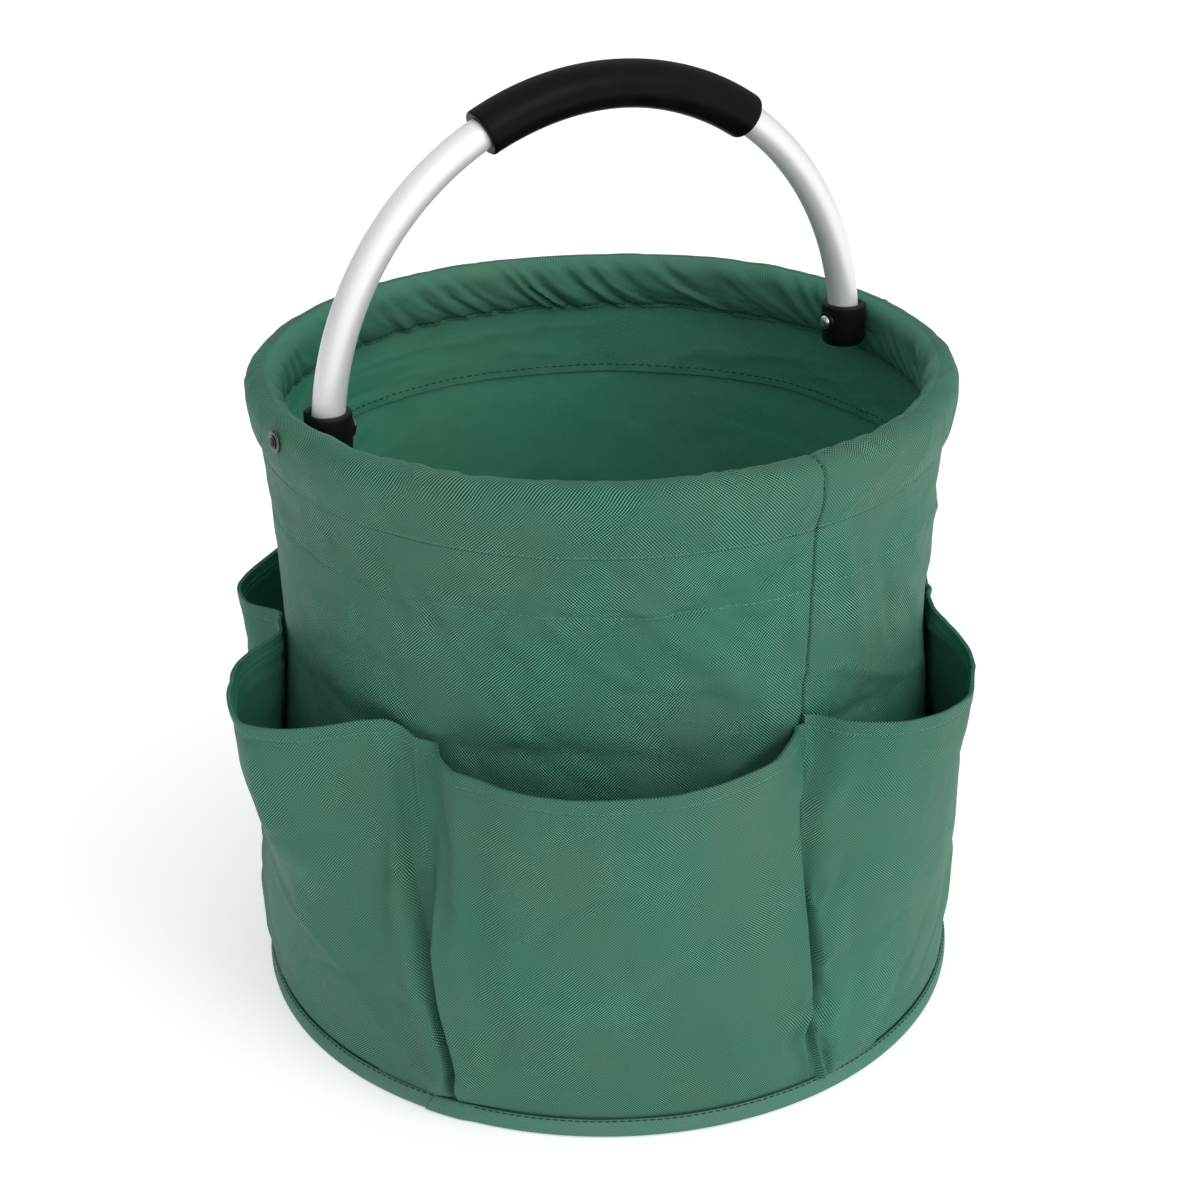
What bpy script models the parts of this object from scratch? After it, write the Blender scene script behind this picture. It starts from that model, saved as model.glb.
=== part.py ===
"""Open-topped fruit picking bag: soft six-pocket bucket, stiff rim hoop and a swinging bow handle.

Metres, +Z up.  Origin on the floor under the middle of the bag.  The handle pivots about an
axis along X.  Angles round the bag are measured from -Y (the front) towards +X.
"""
import math

import bmesh
import bpy
from mathutils import Vector

# ---------------------------------------------------------------- driving dimensions
RING_STEPS = 48
FABRIC = 0.0012

BINDING_R = 0.1750
BINDING_THICK = 0.0026
BINDING_H = 0.0090
PANEL_R = 0.1720
PANEL_THICK = 0.0017
BOARD_R = 0.1672
BOARD_Z = (0.0020, 0.0050)
LINING_R = 0.1668
LINING_Z = (0.0053, 0.0065)

WALL_THICK = 0.0015
WALL_PROFILE = (
    (0.0020, 0.1700),
    (0.0280, 0.1684),
    (0.1080, 0.1610),
    (0.1870, 0.1550),
    (0.2350, 0.1565),
    (0.2825, 0.1583),
)

PLAN_FRONT_LEFT = ((0.0, 0.0), (0.083, 0.36), (0.206, 0.724), (0.343, 0.92), (0.466, 1.0),
                   (0.587, 0.99), (0.716, 0.86), (0.85, 0.59), (0.987, 0.07), (1.0, 0.0))
PLAN_FRONT_RIGHT = ((0.0, 0.0), (0.031, 0.197), (0.095, 0.433), (0.2, 0.784), (0.316, 0.966),
                    (0.458, 1.0), (0.56, 0.829), (0.693, 0.624), (0.811, 0.289), (0.87, 0.05),
                    (1.0, 0.0))
PLAN_SLACK = ((0.0, 0.0), (0.1, 0.03), (0.25, 0.2), (0.4, 0.5), (0.55, 0.85), (0.7, 1.0),
              (0.82, 0.85), (0.92, 0.4), (1.0, 0.0))
PLAN_BACK_RIGHT = ((0.0, 0.0), (0.06, 0.12), (0.14, 0.5), (0.25, 0.82), (0.38, 0.98), (0.5, 1.0),
                   (0.62, 0.98), (0.75, 0.82), (0.86, 0.5), (0.94, 0.12), (1.0, 0.0))
PLAN_BACK_LEFT = ((0.0, 0.0), (0.1, 0.35), (0.25, 0.72), (0.4, 0.87), (0.53, 0.92), (0.68, 1.0),
                  (0.75, 0.96), (0.83, 0.764), (0.877, 0.387), (0.953, 0.02), (1.0, 0.0))
PLAN_LEFT = ((0.0, 0.0), (0.115, 0.02), (0.161, 0.262), (0.209, 0.498), (0.268, 0.636),
             (0.358, 0.796), (0.469, 0.945), (0.539, 1.0), (0.604, 0.92), (0.684, 0.72),
             (0.759, 0.47), (0.833, 0.178), (0.885, 0.02), (1.0, 0.0))
POCKETS = (
    ("pocket_front_left", -55.5, 4.2, -60.7, 2.0, 1.00, PLAN_FRONT_LEFT),
    ("pocket_front_right", 4.2, 62.0, 2.0, 57.0, 1.12, PLAN_FRONT_RIGHT),
    ("pocket_right", 62.0, 122.0, 57.0, 121.0, 0.76, PLAN_SLACK),
    ("pocket_back_right", 122.0, 185.0, 121.0, 185.0, 1.00, PLAN_BACK_RIGHT),
    ("pocket_back_left", 185.0, 248.0, 185.0, 249.0, 0.83, PLAN_BACK_LEFT),
    ("pocket_left", 248.0, 304.5, 249.0, 299.3, 1.40, PLAN_LEFT),
)
POCKET_EDGE_GAP = 0.35
POCKET_CLEAR = 0.0003
POCKET_TOP_Z = 0.1880
POCKET_CORNER_RISE = 0.0060
POCKET_BOXY = 0.45
POCKET_COLUMNS = 14
BULGE_PROFILE = (
    (0.0022, 0.0),
    (0.0100, 0.0004),
    (0.0280, 0.0026),
    (0.0680, 0.0107),
    (0.1080, 0.0180),
    (0.1480, 0.0262),
    (0.1880, 0.0327),
)

HOOP_R = 0.1572
HOOP_Z = 0.3078
HOOP_TUBE_R = 0.0063
HOOP_BORE_R = 0.0053
HOOP_SIDES = 8
HOOP_GAP_AT = 184.5
HOOP_GAP = 1.2
PLUG_R = 0.0046
PLUG_SPAN = 14.0

HEM_R = 0.0078
HEM_THICK = 0.0010
HEM_SKIRT_Z = 0.2790
FACING_Z = (0.2520, 0.2785)
FACING_R = 0.1549

PIVOT_Z = 0.3070
TUBE_R = 0.0075
TUBE_BORE_R = 0.0063
TUBE_SIDES = 16
BOW_R = 0.1402
BOW_CENTRE_Z = 0.3000
BOW_STEP = 5.0
TUBE_END_Z = 0.2972
GRIP_R = 0.0110
GRIP_BORE_R = 0.0078
GRIP_FROM = -25.2
GRIP_TO = 34.4

SOCKET_R = 0.0110
SOCKET_Z = (0.2950, 0.3160)
SOCKET_FLOOR_Z = 0.2967
SOCKET_BORE_R = 0.0078
SOCKET_FLAT_X = 0.1485

RIVET_R = 0.00250
RIVET_HOLE_R = 0.00258
RIVET_SIDES = 16
RIVET_HEAD_R = 0.0036
RIVET_HEAD_X = 0.1287
RIVET_END_X = 0.1669
EYELET_R = 0.00525
EYELET_X = (0.1654, 0.1664)

GREEN = (0.080, 0.230, 0.155)
DARK_GREEN = (0.050, 0.165, 0.105)
SILVER = (0.80, 0.80, 0.81)
BLACK = (0.020, 0.020, 0.021)


# ---------------------------------------------------------------- helpers
def clear_scene():
    """Remove everything that is already in the file."""
    for item in list(bpy.data.objects):
        bpy.data.objects.remove(item, do_unlink=True)
    for mesh in list(bpy.data.meshes):
        bpy.data.meshes.remove(mesh)


def material(name, colour, roughness, metallic=0.0):
    """A plain material of its own for one piece."""
    made = bpy.data.materials.new(name)
    made.use_nodes = True
    shader = made.node_tree.nodes["Principled BSDF"]
    shader.inputs["Base Color"].default_value = (*colour, 1.0)
    shader.inputs["Roughness"].default_value = roughness
    shader.inputs["Metallic"].default_value = metallic
    return made


def piece(name, verts, faces, look, origin=(0.0, 0.0, 0.0), smooth=True):
    """One named object from points and faces, with faces turned outward."""
    mesh = bpy.data.meshes.new(name)
    centre = Vector(origin)
    mesh.from_pydata([Vector(v) - centre for v in verts], [], faces)
    work = bmesh.new()
    work.from_mesh(mesh)
    bmesh.ops.remove_doubles(work, verts=work.verts, dist=1e-7)
    bmesh.ops.recalc_face_normals(work, faces=work.faces)
    work.to_mesh(mesh)
    work.free()
    mesh.update()
    made = bpy.data.objects.new(name, mesh)
    made.location = centre
    bpy.context.scene.collection.objects.link(made)
    if look is not None:
        mesh.materials.append(material(name, *look))
    for face in mesh.polygons:
        face.use_smooth = smooth
    return made


def cut(target, cutter):
    """Take the cutter's shape out of the target."""
    cutter.hide_render = True
    cutter.display_type = "WIRE"
    step = target.modifiers.new("cut_" + cutter.name, "BOOLEAN")
    step.operation = "DIFFERENCE"
    step.solver = "EXACT"
    step.object = cutter


def between(table, z):
    """Straight-line value from a table of (place, value)."""
    if z <= table[0][0]:
        return table[0][1]
    for (z0, v0), (z1, v1) in zip(table, table[1:]):
        if z <= z1:
            return v0 + (v1 - v0) * (z - z0) / (z1 - z0)
    return table[-1][1]


def around(radius, degrees, z):
    """A point at a radius and an angle round the bag."""
    turn = math.radians(degrees)
    return (radius * math.sin(turn), -radius * math.cos(turn), z)


def ring_angles():
    """Evenly spaced angles for everything that goes right round."""
    return [POCKETS[0][1] + 360.0 * i / RING_STEPS for i in range(RING_STEPS)]


def band_faces(rows, columns, close_rows, close_columns):
    """Four-sided faces over a grid of points stored row by row."""
    faces = []
    for i in range(rows if close_rows else rows - 1):
        for j in range(columns if close_columns else columns - 1):
            a = i * columns + j
            b = i * columns + (j + 1) % columns
            c = ((i + 1) % rows) * columns + (j + 1) % columns
            d = ((i + 1) % rows) * columns + j
            faces.append((a, b, c, d))
    return faces


def ring_solid(profile):
    """A closed ring made by turning a closed outline of (radius, height) about Z."""
    angles = ring_angles()
    verts = [around(r, a, z) for a in angles for r, z in profile]
    return verts, band_faces(len(angles), len(profile), True, True)


def turned_solid(profile, steps, place):
    """A solid turned about its own axis; the outline starts and ends on the axis."""
    verts = [place(profile[0][0], 0.0, 0.0)]
    for along, radius in profile[1:-1]:
        for i in range(steps):
            turn = 2.0 * math.pi * i / steps
            verts.append(place(along, radius * math.cos(turn), radius * math.sin(turn)))
    verts.append(place(profile[-1][0], 0.0, 0.0))
    last = len(verts) - 1
    loops = len(profile) - 2
    faces = []
    for i in range(steps):
        faces.append((0, 1 + i, 1 + (i + 1) % steps))
        base = 1 + (loops - 1) * steps
        faces.append((last, base + (i + 1) % steps, base + i))
    for loop in range(loops - 1):
        for i in range(steps):
            a = 1 + loop * steps + i
            b = 1 + loop * steps + (i + 1) % steps
            faces.append((a, b, b + steps, a + steps))
    return verts, faces


def washer_solid(profile, steps, place):
    """A closed ring of (along, radius) points turned about its own axis."""
    verts = []
    for i in range(steps):
        turn = 2.0 * math.pi * i / steps
        for along, radius in profile:
            verts.append(place(along, radius * math.cos(turn), radius * math.sin(turn)))
    return verts, band_faces(steps, len(profile), True, True)


def rod_solid(sections):
    """A solid rod through closed sections, with flat ends."""
    count = len(sections[0])
    verts = [p for section in sections for p in section]
    faces = band_faces(len(sections), count, False, True)
    faces.append(tuple(range(count)))
    last = (len(sections) - 1) * count
    faces.append(tuple(range(last, last + count)))
    return verts, faces


def pipe_solid(outer, inner):
    """A hollow rod, open at both ends, from matching outer and inner sections."""
    count = len(outer[0])
    verts = [p for section in outer for p in section]
    start = len(verts)
    verts += [p for section in inner for p in section]
    skin = band_faces(len(outer), count, False, True)
    faces = skin + [tuple(start + v for v in face) for face in skin]
    for base in (0, (len(outer) - 1) * count):
        for j in range(count):
            k = (j + 1) % count
            faces.append((base + j, base + k, start + base + k, start + base + j))
    return verts, faces


def sheet_solid(front, back):
    """A closed sheet between two matching grids of points (rows of points)."""
    rows = len(front)
    columns = len(front[0])
    verts = [p for row in front for p in row]
    start = len(verts)
    verts += [p for row in back for p in row]
    skin = band_faces(rows, columns, False, False)
    faces = skin + [tuple(start + v for v in face) for face in skin]
    edge = [j for j in range(columns)]
    edge += [i * columns + columns - 1 for i in range(1, rows)]
    edge += [(rows - 1) * columns + j for j in range(columns - 2, -1, -1)]
    edge += [i * columns for i in range(rows - 2, 0, -1)]
    for a, b in zip(edge, edge[1:] + edge[:1]):
        faces.append((a, b, start + b, start + a))
    return verts, faces


# ---------------------------------------------------------------- base
def upright(along, u, v):
    """Place a turned shape with its axis on Z."""
    return (u, v, along)


def disc(name, radius, low, high, look, smooth=False):
    """A flat round plate about Z."""
    profile = ((low, 0.0), (low, radius), (high, radius), (high, 0.0))
    verts, faces = turned_solid(profile, RING_STEPS, upright)
    return piece(name, verts, faces, look, smooth=smooth)


def make_base():
    """Bottom panel, stiffening board, floor lining and the tape round the bottom edge."""
    disc("base_panel", PANEL_R, 0.0, PANEL_THICK, (DARK_GREEN, 0.85))
    disc("base_board", BOARD_R, *BOARD_Z, (BLACK, 0.6))
    disc("floor_lining", LINING_R, *LINING_Z, (DARK_GREEN, 0.85))
    inner = BINDING_R - BINDING_THICK
    round_off = 0.0008
    profile = (
        (inner, 0.0),
        (BINDING_R - round_off, 0.0),
        (BINDING_R, round_off),
        (BINDING_R - 0.0004, BINDING_H - round_off),
        (BINDING_R - 0.0004 - round_off, BINDING_H),
        (inner, BINDING_H),
    )
    verts, faces = ring_solid(profile)
    piece("base_binding", verts, faces, (GREEN, 0.8))


# ---------------------------------------------------------------- wall and pockets
def make_wall():
    """The soft side of the bag, from the base up into the hem."""
    outside = [(r, z) for z, r in WALL_PROFILE]
    inside = [(r - WALL_THICK, z) for z, r in reversed(WALL_PROFILE)]
    verts, faces = ring_solid(outside + inside)
    piece("body_wall", verts, faces, (GREEN, 0.8))


def pocket_grid(spec, offset):
    """Rows of points over one face of a pocket, offset outward from its inside."""
    name, left_low, right_low, left_top, right_top, size, plan = spec
    rows = []
    for z, bulge in BULGE_PROFILE:
        rise = max(0.0, (z - 0.03) / (POCKET_TOP_Z - 0.03))
        left = left_low + (left_top - left_low) * rise + POCKET_EDGE_GAP
        right = right_low + (right_top - right_low) * rise - POCKET_EDGE_GAP
        opened = min(1.0, z / 0.135)
        full = bulge * (1.0 + (size - 1.0) * min(1.0, rise * 1.3))
        row = []
        for j in range(POCKET_COLUMNS + 1):
            s = j / POCKET_COLUMNS
            share = between(plan, s) * opened + math.sin(math.pi * s) ** POCKET_BOXY * (1.0 - opened)
            height = z + POCKET_CORNER_RISE * (1.0 - between(plan, s)) * z / POCKET_TOP_Z * rise
            radius = between(WALL_PROFILE, height) + POCKET_CLEAR + full * share + offset
            row.append(around(radius, left + (right - left) * s, height))
        rows.append(row)
    return rows


def make_pockets():
    """Six open-topped pockets sewn round the lower part of the bag."""
    for spec in POCKETS:
        verts, faces = sheet_solid(pocket_grid(spec, FABRIC), pocket_grid(spec, 0.0))
        piece(spec[0], verts, faces, (GREEN, 0.8))


# ---------------------------------------------------------------- rim
def hoop_sections(radius, angles):
    """Round sections along the hoop."""
    sections = []
    for angle in angles:
        section = []
        for k in range(HOOP_SIDES):
            turn = 2.0 * math.pi * k / HOOP_SIDES
            r = HOOP_R + radius * math.cos(turn)
            section.append(around(r, angle, HOOP_Z + radius * math.sin(turn)))
        sections.append(section)
    return sections


def make_hoop(cutters):
    """The bent tube inside the hem and the plug that joins its two ends."""
    first = HOOP_GAP_AT + 0.5 * HOOP_GAP
    step = 360.0 / RING_STEPS
    angles = [first]
    angles += [HOOP_GAP_AT + step * i for i in range(1, RING_STEPS)]
    angles += [first + 360.0 - HOOP_GAP]
    verts, faces = pipe_solid(
        hoop_sections(HOOP_TUBE_R, angles), hoop_sections(HOOP_BORE_R, angles)
    )
    hoop = piece("rim_hoop", verts, faces, (SILVER, 0.4, 1.0), (0.0, 0.0, HOOP_Z))
    for cutter in cutters:
        cut(hoop, cutter)
    span = [HOOP_GAP_AT - PLUG_SPAN / 2 + PLUG_SPAN * i / 4 for i in range(5)]
    verts, faces = rod_solid(hoop_sections(PLUG_R, span))
    piece("hoop_plug", verts, faces, (SILVER, 0.5, 1.0), (0.0, 0.0, HOOP_Z))


def hem_outline(inset):
    """Outside (inset 0) or inside of the hem, from its outer skirt over the top and down."""
    points = [(0.1603 - inset, HEM_SKIRT_Z), (0.1626 - inset, 0.2880), (0.1644 - inset, 0.2970)]
    for k in range(8):
        turn = math.radians(-12.0 + 204.0 * k / 7)
        radius = HEM_R - inset
        points.append((HOOP_R + radius * math.cos(turn), HOOP_Z + radius * math.sin(turn)))
    points += [(0.1502 + inset, 0.2970), (0.1519 + inset, 0.2880), (0.1538 + inset, HEM_SKIRT_Z)]
    return points


def make_hem(cutters):
    """The sleeve of fabric round the hoop, and the facing below it inside the bag."""
    outline = hem_outline(0.0) + list(reversed(hem_outline(HEM_THICK)))
    verts, faces = ring_solid(outline)
    hem = piece("rim_sleeve", verts, faces, (GREEN, 0.8), (0.0, 0.0, HOOP_Z))
    for cutter in cutters:
        cut(hem, cutter)
    low, high = FACING_Z
    profile = (
        (FACING_R - 0.0010, low),
        (FACING_R, low),
        (FACING_R, high),
        (FACING_R - 0.0010, high),
    )
    verts, faces = ring_solid(profile)
    piece("facing_band", verts, faces, (DARK_GREEN, 0.8), (0.0, 0.0, HOOP_Z))


def along_x(side):
    """Placement of shapes turned about the pivot axis, on one side of the bag."""
    def place(along, u, v):
        return (side * along, u, PIVOT_Z + v)
    return place


def pivot_cutter(name, side):
    """Round cutter for the rivet holes."""
    profile = ((0.120, 0.0), (0.120, RIVET_HOLE_R), (0.170, RIVET_HOLE_R), (0.170, 0.0))
    verts, faces = turned_solid(profile, RIVET_SIDES, along_x(side))
    return piece(name, verts, faces, None)


def make_rivet(word, side):
    """The pivot rivet and the eyelet washer under its outer end."""
    head = RIVET_HEAD_X
    end = RIVET_END_X
    profile = (
        (head - 0.0016, 0.0),
        (head - 0.0014, 0.0016),
        (head - 0.0008, 0.0029),
        (head, RIVET_HEAD_R),
        (head, RIVET_R),
        (end - 0.0003, RIVET_R),
        (end, RIVET_R - 0.0003),
        (end, 0.0017),
        (end - 0.0040, 0.0016),
        (end - 0.0040, 0.0),
    )
    verts, faces = turned_solid(profile, RIVET_SIDES, along_x(side))
    where = (side * 0.148, 0.0, PIVOT_Z)
    piece("pivot_rivet_" + word, verts, faces, (SILVER, 0.3, 1.0), where)
    low, high = EYELET_X
    profile = (
        (low, RIVET_HOLE_R),
        (low, EYELET_R),
        (low + 0.0005, EYELET_R),
        (high, EYELET_R - 0.0012),
        (high, RIVET_HOLE_R + 0.0005),
        (high - 0.0004, RIVET_HOLE_R),
    )
    verts, faces = washer_solid(profile, 20, along_x(side))
    piece("eyelet_" + word, verts, faces, (SILVER, 0.35, 1.0), where)


# ---------------------------------------------------------------- handle
def bow_sections(radius, angles, leg_end=None):
    """Round sections along the bow; angle 0 is the top, positive towards +X."""
    sections = []
    for angle in angles:
        turn = math.radians(angle)
        spoke = Vector((math.sin(turn), 0.0, math.cos(turn)))
        centre = Vector((0.0, 0.0, BOW_CENTRE_Z)) + BOW_R * spoke
        sections.append(round_section(centre, spoke, radius))
    if leg_end is None:
        return sections
    low_left = round_section(Vector((-BOW_R, 0.0, leg_end)), Vector((-1.0, 0.0, 0.0)), radius)
    low_right = round_section(Vector((BOW_R, 0.0, leg_end)), Vector((1.0, 0.0, 0.0)), radius)
    return [low_left] + sections + [low_right]


def round_section(centre, spoke, radius):
    """A circle of points in the plane of the spoke and Y."""
    section = []
    for k in range(TUBE_SIDES):
        turn = 2.0 * math.pi * k / TUBE_SIDES
        side = Vector((0.0, 1.0, 0.0)) * math.sin(turn)
        section.append(tuple(centre + radius * (spoke * math.cos(turn) + side)))
    return section


def make_handle(cutters):
    """The bent tube handle and its soft grip."""
    count = int(180.0 / BOW_STEP)
    angles = [-90.0 + BOW_STEP * i for i in range(count + 1)]
    pivot = (0.0, 0.0, PIVOT_Z)
    verts, faces = pipe_solid(
        bow_sections(TUBE_R, angles, TUBE_END_Z),
        bow_sections(TUBE_BORE_R, angles, TUBE_END_Z),
    )
    tube = piece("handle_tube", verts, faces, (SILVER, 0.35, 1.0), pivot)
    for cutter in cutters:
        cut(tube, cutter)
    inside = [a for a in angles if GRIP_FROM + 1.0 < a < GRIP_TO - 1.0]
    spans = [GRIP_FROM, GRIP_FROM + 0.6] + inside + [GRIP_TO - 0.6, GRIP_TO]
    outer = []
    for i, angle in enumerate(spans):
        end = i in (0, len(spans) - 1)
        outer += bow_sections(GRIP_R - (0.0013 if end else 0.0), [angle])
    inner = bow_sections(GRIP_BORE_R, spans)
    verts, faces = pipe_solid(outer, inner)
    piece("handle_grip", verts, faces, (BLACK, 0.75), pivot)


def make_socket(word, side, cutter):
    """The cap on one end of the handle, through which the pivot rivet passes."""
    low, high = SOCKET_Z
    profile = (
        (low, 0.0),
        (low, 0.0092),
        (low + 0.0003, 0.0099),
        (low + 0.0012, 0.0105),
        (high - 0.0010, SOCKET_R),
        (high - 0.0003, SOCKET_R - 0.0003),
        (high, SOCKET_R - 0.0010),
        (high, 0.0),
    )

    def place(along, u, v):
        return (side * BOW_R + u, v, along)

    verts, faces = turned_solid(profile, 24, place)
    pivot = (0.0, 0.0, PIVOT_Z)
    socket = piece("socket_" + word, verts, faces, (BLACK, 0.45), pivot)
    angles = [side * (90.0 - BOW_STEP * i) for i in range(3)]
    bore = [round_section(Vector((side * BOW_R, 0.0, SOCKET_FLOOR_Z)),
                          Vector((side, 0.0, 0.0)), SOCKET_BORE_R)]
    bore += bow_sections(SOCKET_BORE_R, angles)
    verts, faces = rod_solid(bore)
    cut(socket, piece("bore_cutter_" + word, verts, faces, None))
    near = side * SOCKET_FLAT_X
    far = side * 0.160
    corners = [(x, y, z) for x in (near, far) for y in (-0.02, 0.02) for z in (0.28, 0.33)]
    sides = [(0, 1, 3, 2), (4, 6, 7, 5), (0, 4, 5, 1), (2, 3, 7, 6), (0, 2, 6, 4), (1, 5, 7, 3)]
    cut(socket, piece("flat_cutter_" + word, corners, sides, None, smooth=False))
    cut(socket, cutter)


def main():
    """Build the whole bag."""
    clear_scene()
    left_cutter = pivot_cutter("pivot_cutter_left", -1.0)
    right_cutter = pivot_cutter("pivot_cutter_right", 1.0)
    cutters = (left_cutter, right_cutter)
    make_base()
    make_wall()
    make_pockets()
    make_hoop(cutters)
    make_hem(cutters)
    make_rivet("left", -1.0)
    make_rivet("right", 1.0)
    make_handle(cutters)
    make_socket("left", -1.0, left_cutter)
    make_socket("right", 1.0, right_cutter)


main()
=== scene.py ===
"""Looks of the fruit picking bag: its cloth, stitching, handle, grip and rivets.

Metres, +Z up.  Angles round the bag are degrees from -Y (the front) towards +X.
"""
import math

import bmesh
import bpy
import numpy as np
from mathutils import Matrix, Vector


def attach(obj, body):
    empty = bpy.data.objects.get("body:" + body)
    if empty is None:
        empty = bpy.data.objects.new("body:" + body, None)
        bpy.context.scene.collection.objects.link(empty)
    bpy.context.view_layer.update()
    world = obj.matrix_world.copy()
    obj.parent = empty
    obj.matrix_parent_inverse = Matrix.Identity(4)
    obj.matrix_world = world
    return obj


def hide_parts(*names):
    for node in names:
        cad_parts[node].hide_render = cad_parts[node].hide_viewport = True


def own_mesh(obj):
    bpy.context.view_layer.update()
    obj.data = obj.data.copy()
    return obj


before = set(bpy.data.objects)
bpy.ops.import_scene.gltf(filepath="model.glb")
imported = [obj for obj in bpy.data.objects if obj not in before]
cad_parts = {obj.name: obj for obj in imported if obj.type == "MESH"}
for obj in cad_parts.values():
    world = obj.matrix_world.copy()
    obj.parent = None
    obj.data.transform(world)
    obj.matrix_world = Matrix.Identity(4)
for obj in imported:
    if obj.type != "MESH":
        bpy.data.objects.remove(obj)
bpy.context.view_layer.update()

# ------------------------------------------------------------------ sizes
BASE_Z = 0.002
SEAM_PSI = 2.6
LINE_1_Z = 0.283
LINE_2_Z = 0.255
HOOP_R = 0.1572
HOOP_Z = 0.3078
HEM_R = 0.0078
PIVOT_Z = 0.307
BOW_R = 0.1402
BOW_Z = 0.3
CLOTH = 0.0011
HEM_CLOTH = 0.0009
FACING_CLOTH = 0.0008
WALL_ARC = math.pi / 180.0 * 0.157
TAPE_R = 0.175
PANEL_R = 0.1719
LINING_R = 0.167
TUBE_R = 0.00745
TUBE_BORE_R = 0.0063
TUBE_END_Z = 0.2975
GRIP_R = 0.0109
GRIP_BORE_R = 0.0077
LAP_START = -60.2
LAP_END = -52.0

# ------------------------------------------------------------------ the photo's view
FRONT = -31.0
CAMERA_PLACE = (0.0, -0.9987, 0.6676)
CAMERA_PITCH = 25.64
CAMERA_YAW = -0.12
CAMERA_ROLL = -0.7
FOCAL_PIXELS = 2262.0
PHOTO_PIXELS = 1200.0
SENSOR_WIDTH = 36.0
FLOOR_RADIUS = 9.0
FLOOR_Z = -0.0002

GREEN = (0.045, 0.146, 0.095)
# The lining green is the cloth's green painted lighter, standing in for light that reaches the
# inside of the bag; the facing and linings use it.
LINING_GREEN_PAINTED_LIGHTER = (0.054, 0.226, 0.138)
TAPE_GREEN = (0.072, 0.19, 0.138)
THREAD_LIGHT = (0.09, 0.24, 0.168)
THREAD_DARK = (0.012, 0.045, 0.03)


# ------------------------------------------------------------------ numbers
def pairs(*numbers):
    """A table of (place, value), given in millimetres or thousandths."""
    return [(a / 1000.0, b / 1000.0) for a, b in zip(numbers[::2], numbers[1::2])]


def turned_to(angle, at):
    """Degrees from one angle round to another, from -180 to 180."""
    return (angle - at + 180.0) % 360.0 - 180.0


def lattice(u, v, nu, nv, seed):
    """Smooth repeatable noise from -1 to 1; u repeats every 1, v runs from 0 to 1."""
    grid = np.random.RandomState(seed).uniform(-1.0, 1.0, (nv + 4, nu))
    x = np.mod(u, 1.0) * nu
    y = np.clip(v, 0.0, 1.0) * nv + 1.0
    ix = np.floor(x).astype(int)
    iy = np.floor(y).astype(int)
    fx = x - ix
    fy = y - iy

    def weights(f):
        return (
            (-f + 2 * f * f - f ** 3) / 2,
            (2 - 5 * f * f + 3 * f ** 3) / 2,
            (f + 4 * f * f - 3 * f ** 3) / 2,
            (f ** 3 - f * f) / 2,
        )

    wx = weights(fx)
    wy = weights(fy)
    total = np.zeros_like(x)
    for a in range(4):
        for b in range(4):
            row = np.clip(iy + b - 1, 0, nv + 3)
            col = np.mod(ix + a - 1, nu)
            total += wx[a] * wy[b] * grid[row, col]
    return total


def layered(u, v, nu, nv, seed, octaves=3):
    """Noise in several sizes."""
    total = np.zeros_like(u)
    size = 1.0
    for k in range(octaves):
        total += size * lattice(u, v, nu * 2 ** k, nv * 2 ** k, seed + 17 * k)
        size *= 0.5
    return total / 1.5


def ridge(noise_value, sharp=2.0):
    """Turn smooth noise into thin soft creases, from 0 to 1."""
    return np.clip(1.0 - np.abs(noise_value) * sharp, 0.0, 1.0) ** 2


def bump(x, centre, width):
    """A soft bump of height 1."""
    return np.exp(-((x - centre) / width) ** 2)


def smooth_step(x, low, high):
    """0 below low, 1 above high."""
    t = np.clip((x - low) / (high - low), 0.0, 1.0)
    return t * t * (3.0 - 2.0 * t)


def smooth_table(table, x):
    """A rounded line through a table of (place, value)."""
    places = np.array([p for p, _ in table])
    values = np.array([q for _, q in table])
    fine = np.linspace(places[0], places[-1], 600)
    line = np.interp(fine, places, values)
    width = 14
    kernel = np.hanning(2 * width + 1)
    kernel /= kernel.sum()
    before = 2 * line[0] - line[width:0:-1]
    after = 2 * line[-1] - line[-2:-width - 2:-1]
    line = np.convolve(np.concatenate([before, line, after]), kernel, mode="valid")
    return np.interp(x, fine, line)


def around(radius, psi, z):
    """Points at a radius and an angle round the bag."""
    turn = np.radians(psi)
    return np.stack([radius * np.sin(turn), -radius * np.cos(turn), z + 0.0 * turn], axis=-1)


def crease(x, y, x0, y0, x1, y1, width, depth, fold=0.0):
    """Height of one soft crease along a line between two points, all in metres."""
    dx = x1 - x0
    dy = y1 - y0
    length = math.hypot(dx, dy)
    along = ((x - x0) * dx + (y - y0) * dy) / length
    side = ((y - y0) * dx - (x - x0) * dy) / length
    fade = np.exp(-(np.maximum(0.0, np.abs(along - length / 2) - length / 3) / (length / 4)) ** 2)
    q = side / width
    return depth * fade * ((1.0 - fold) * np.exp(-q * q) + fold * 2.3 * q * np.exp(-q * q))


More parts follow.
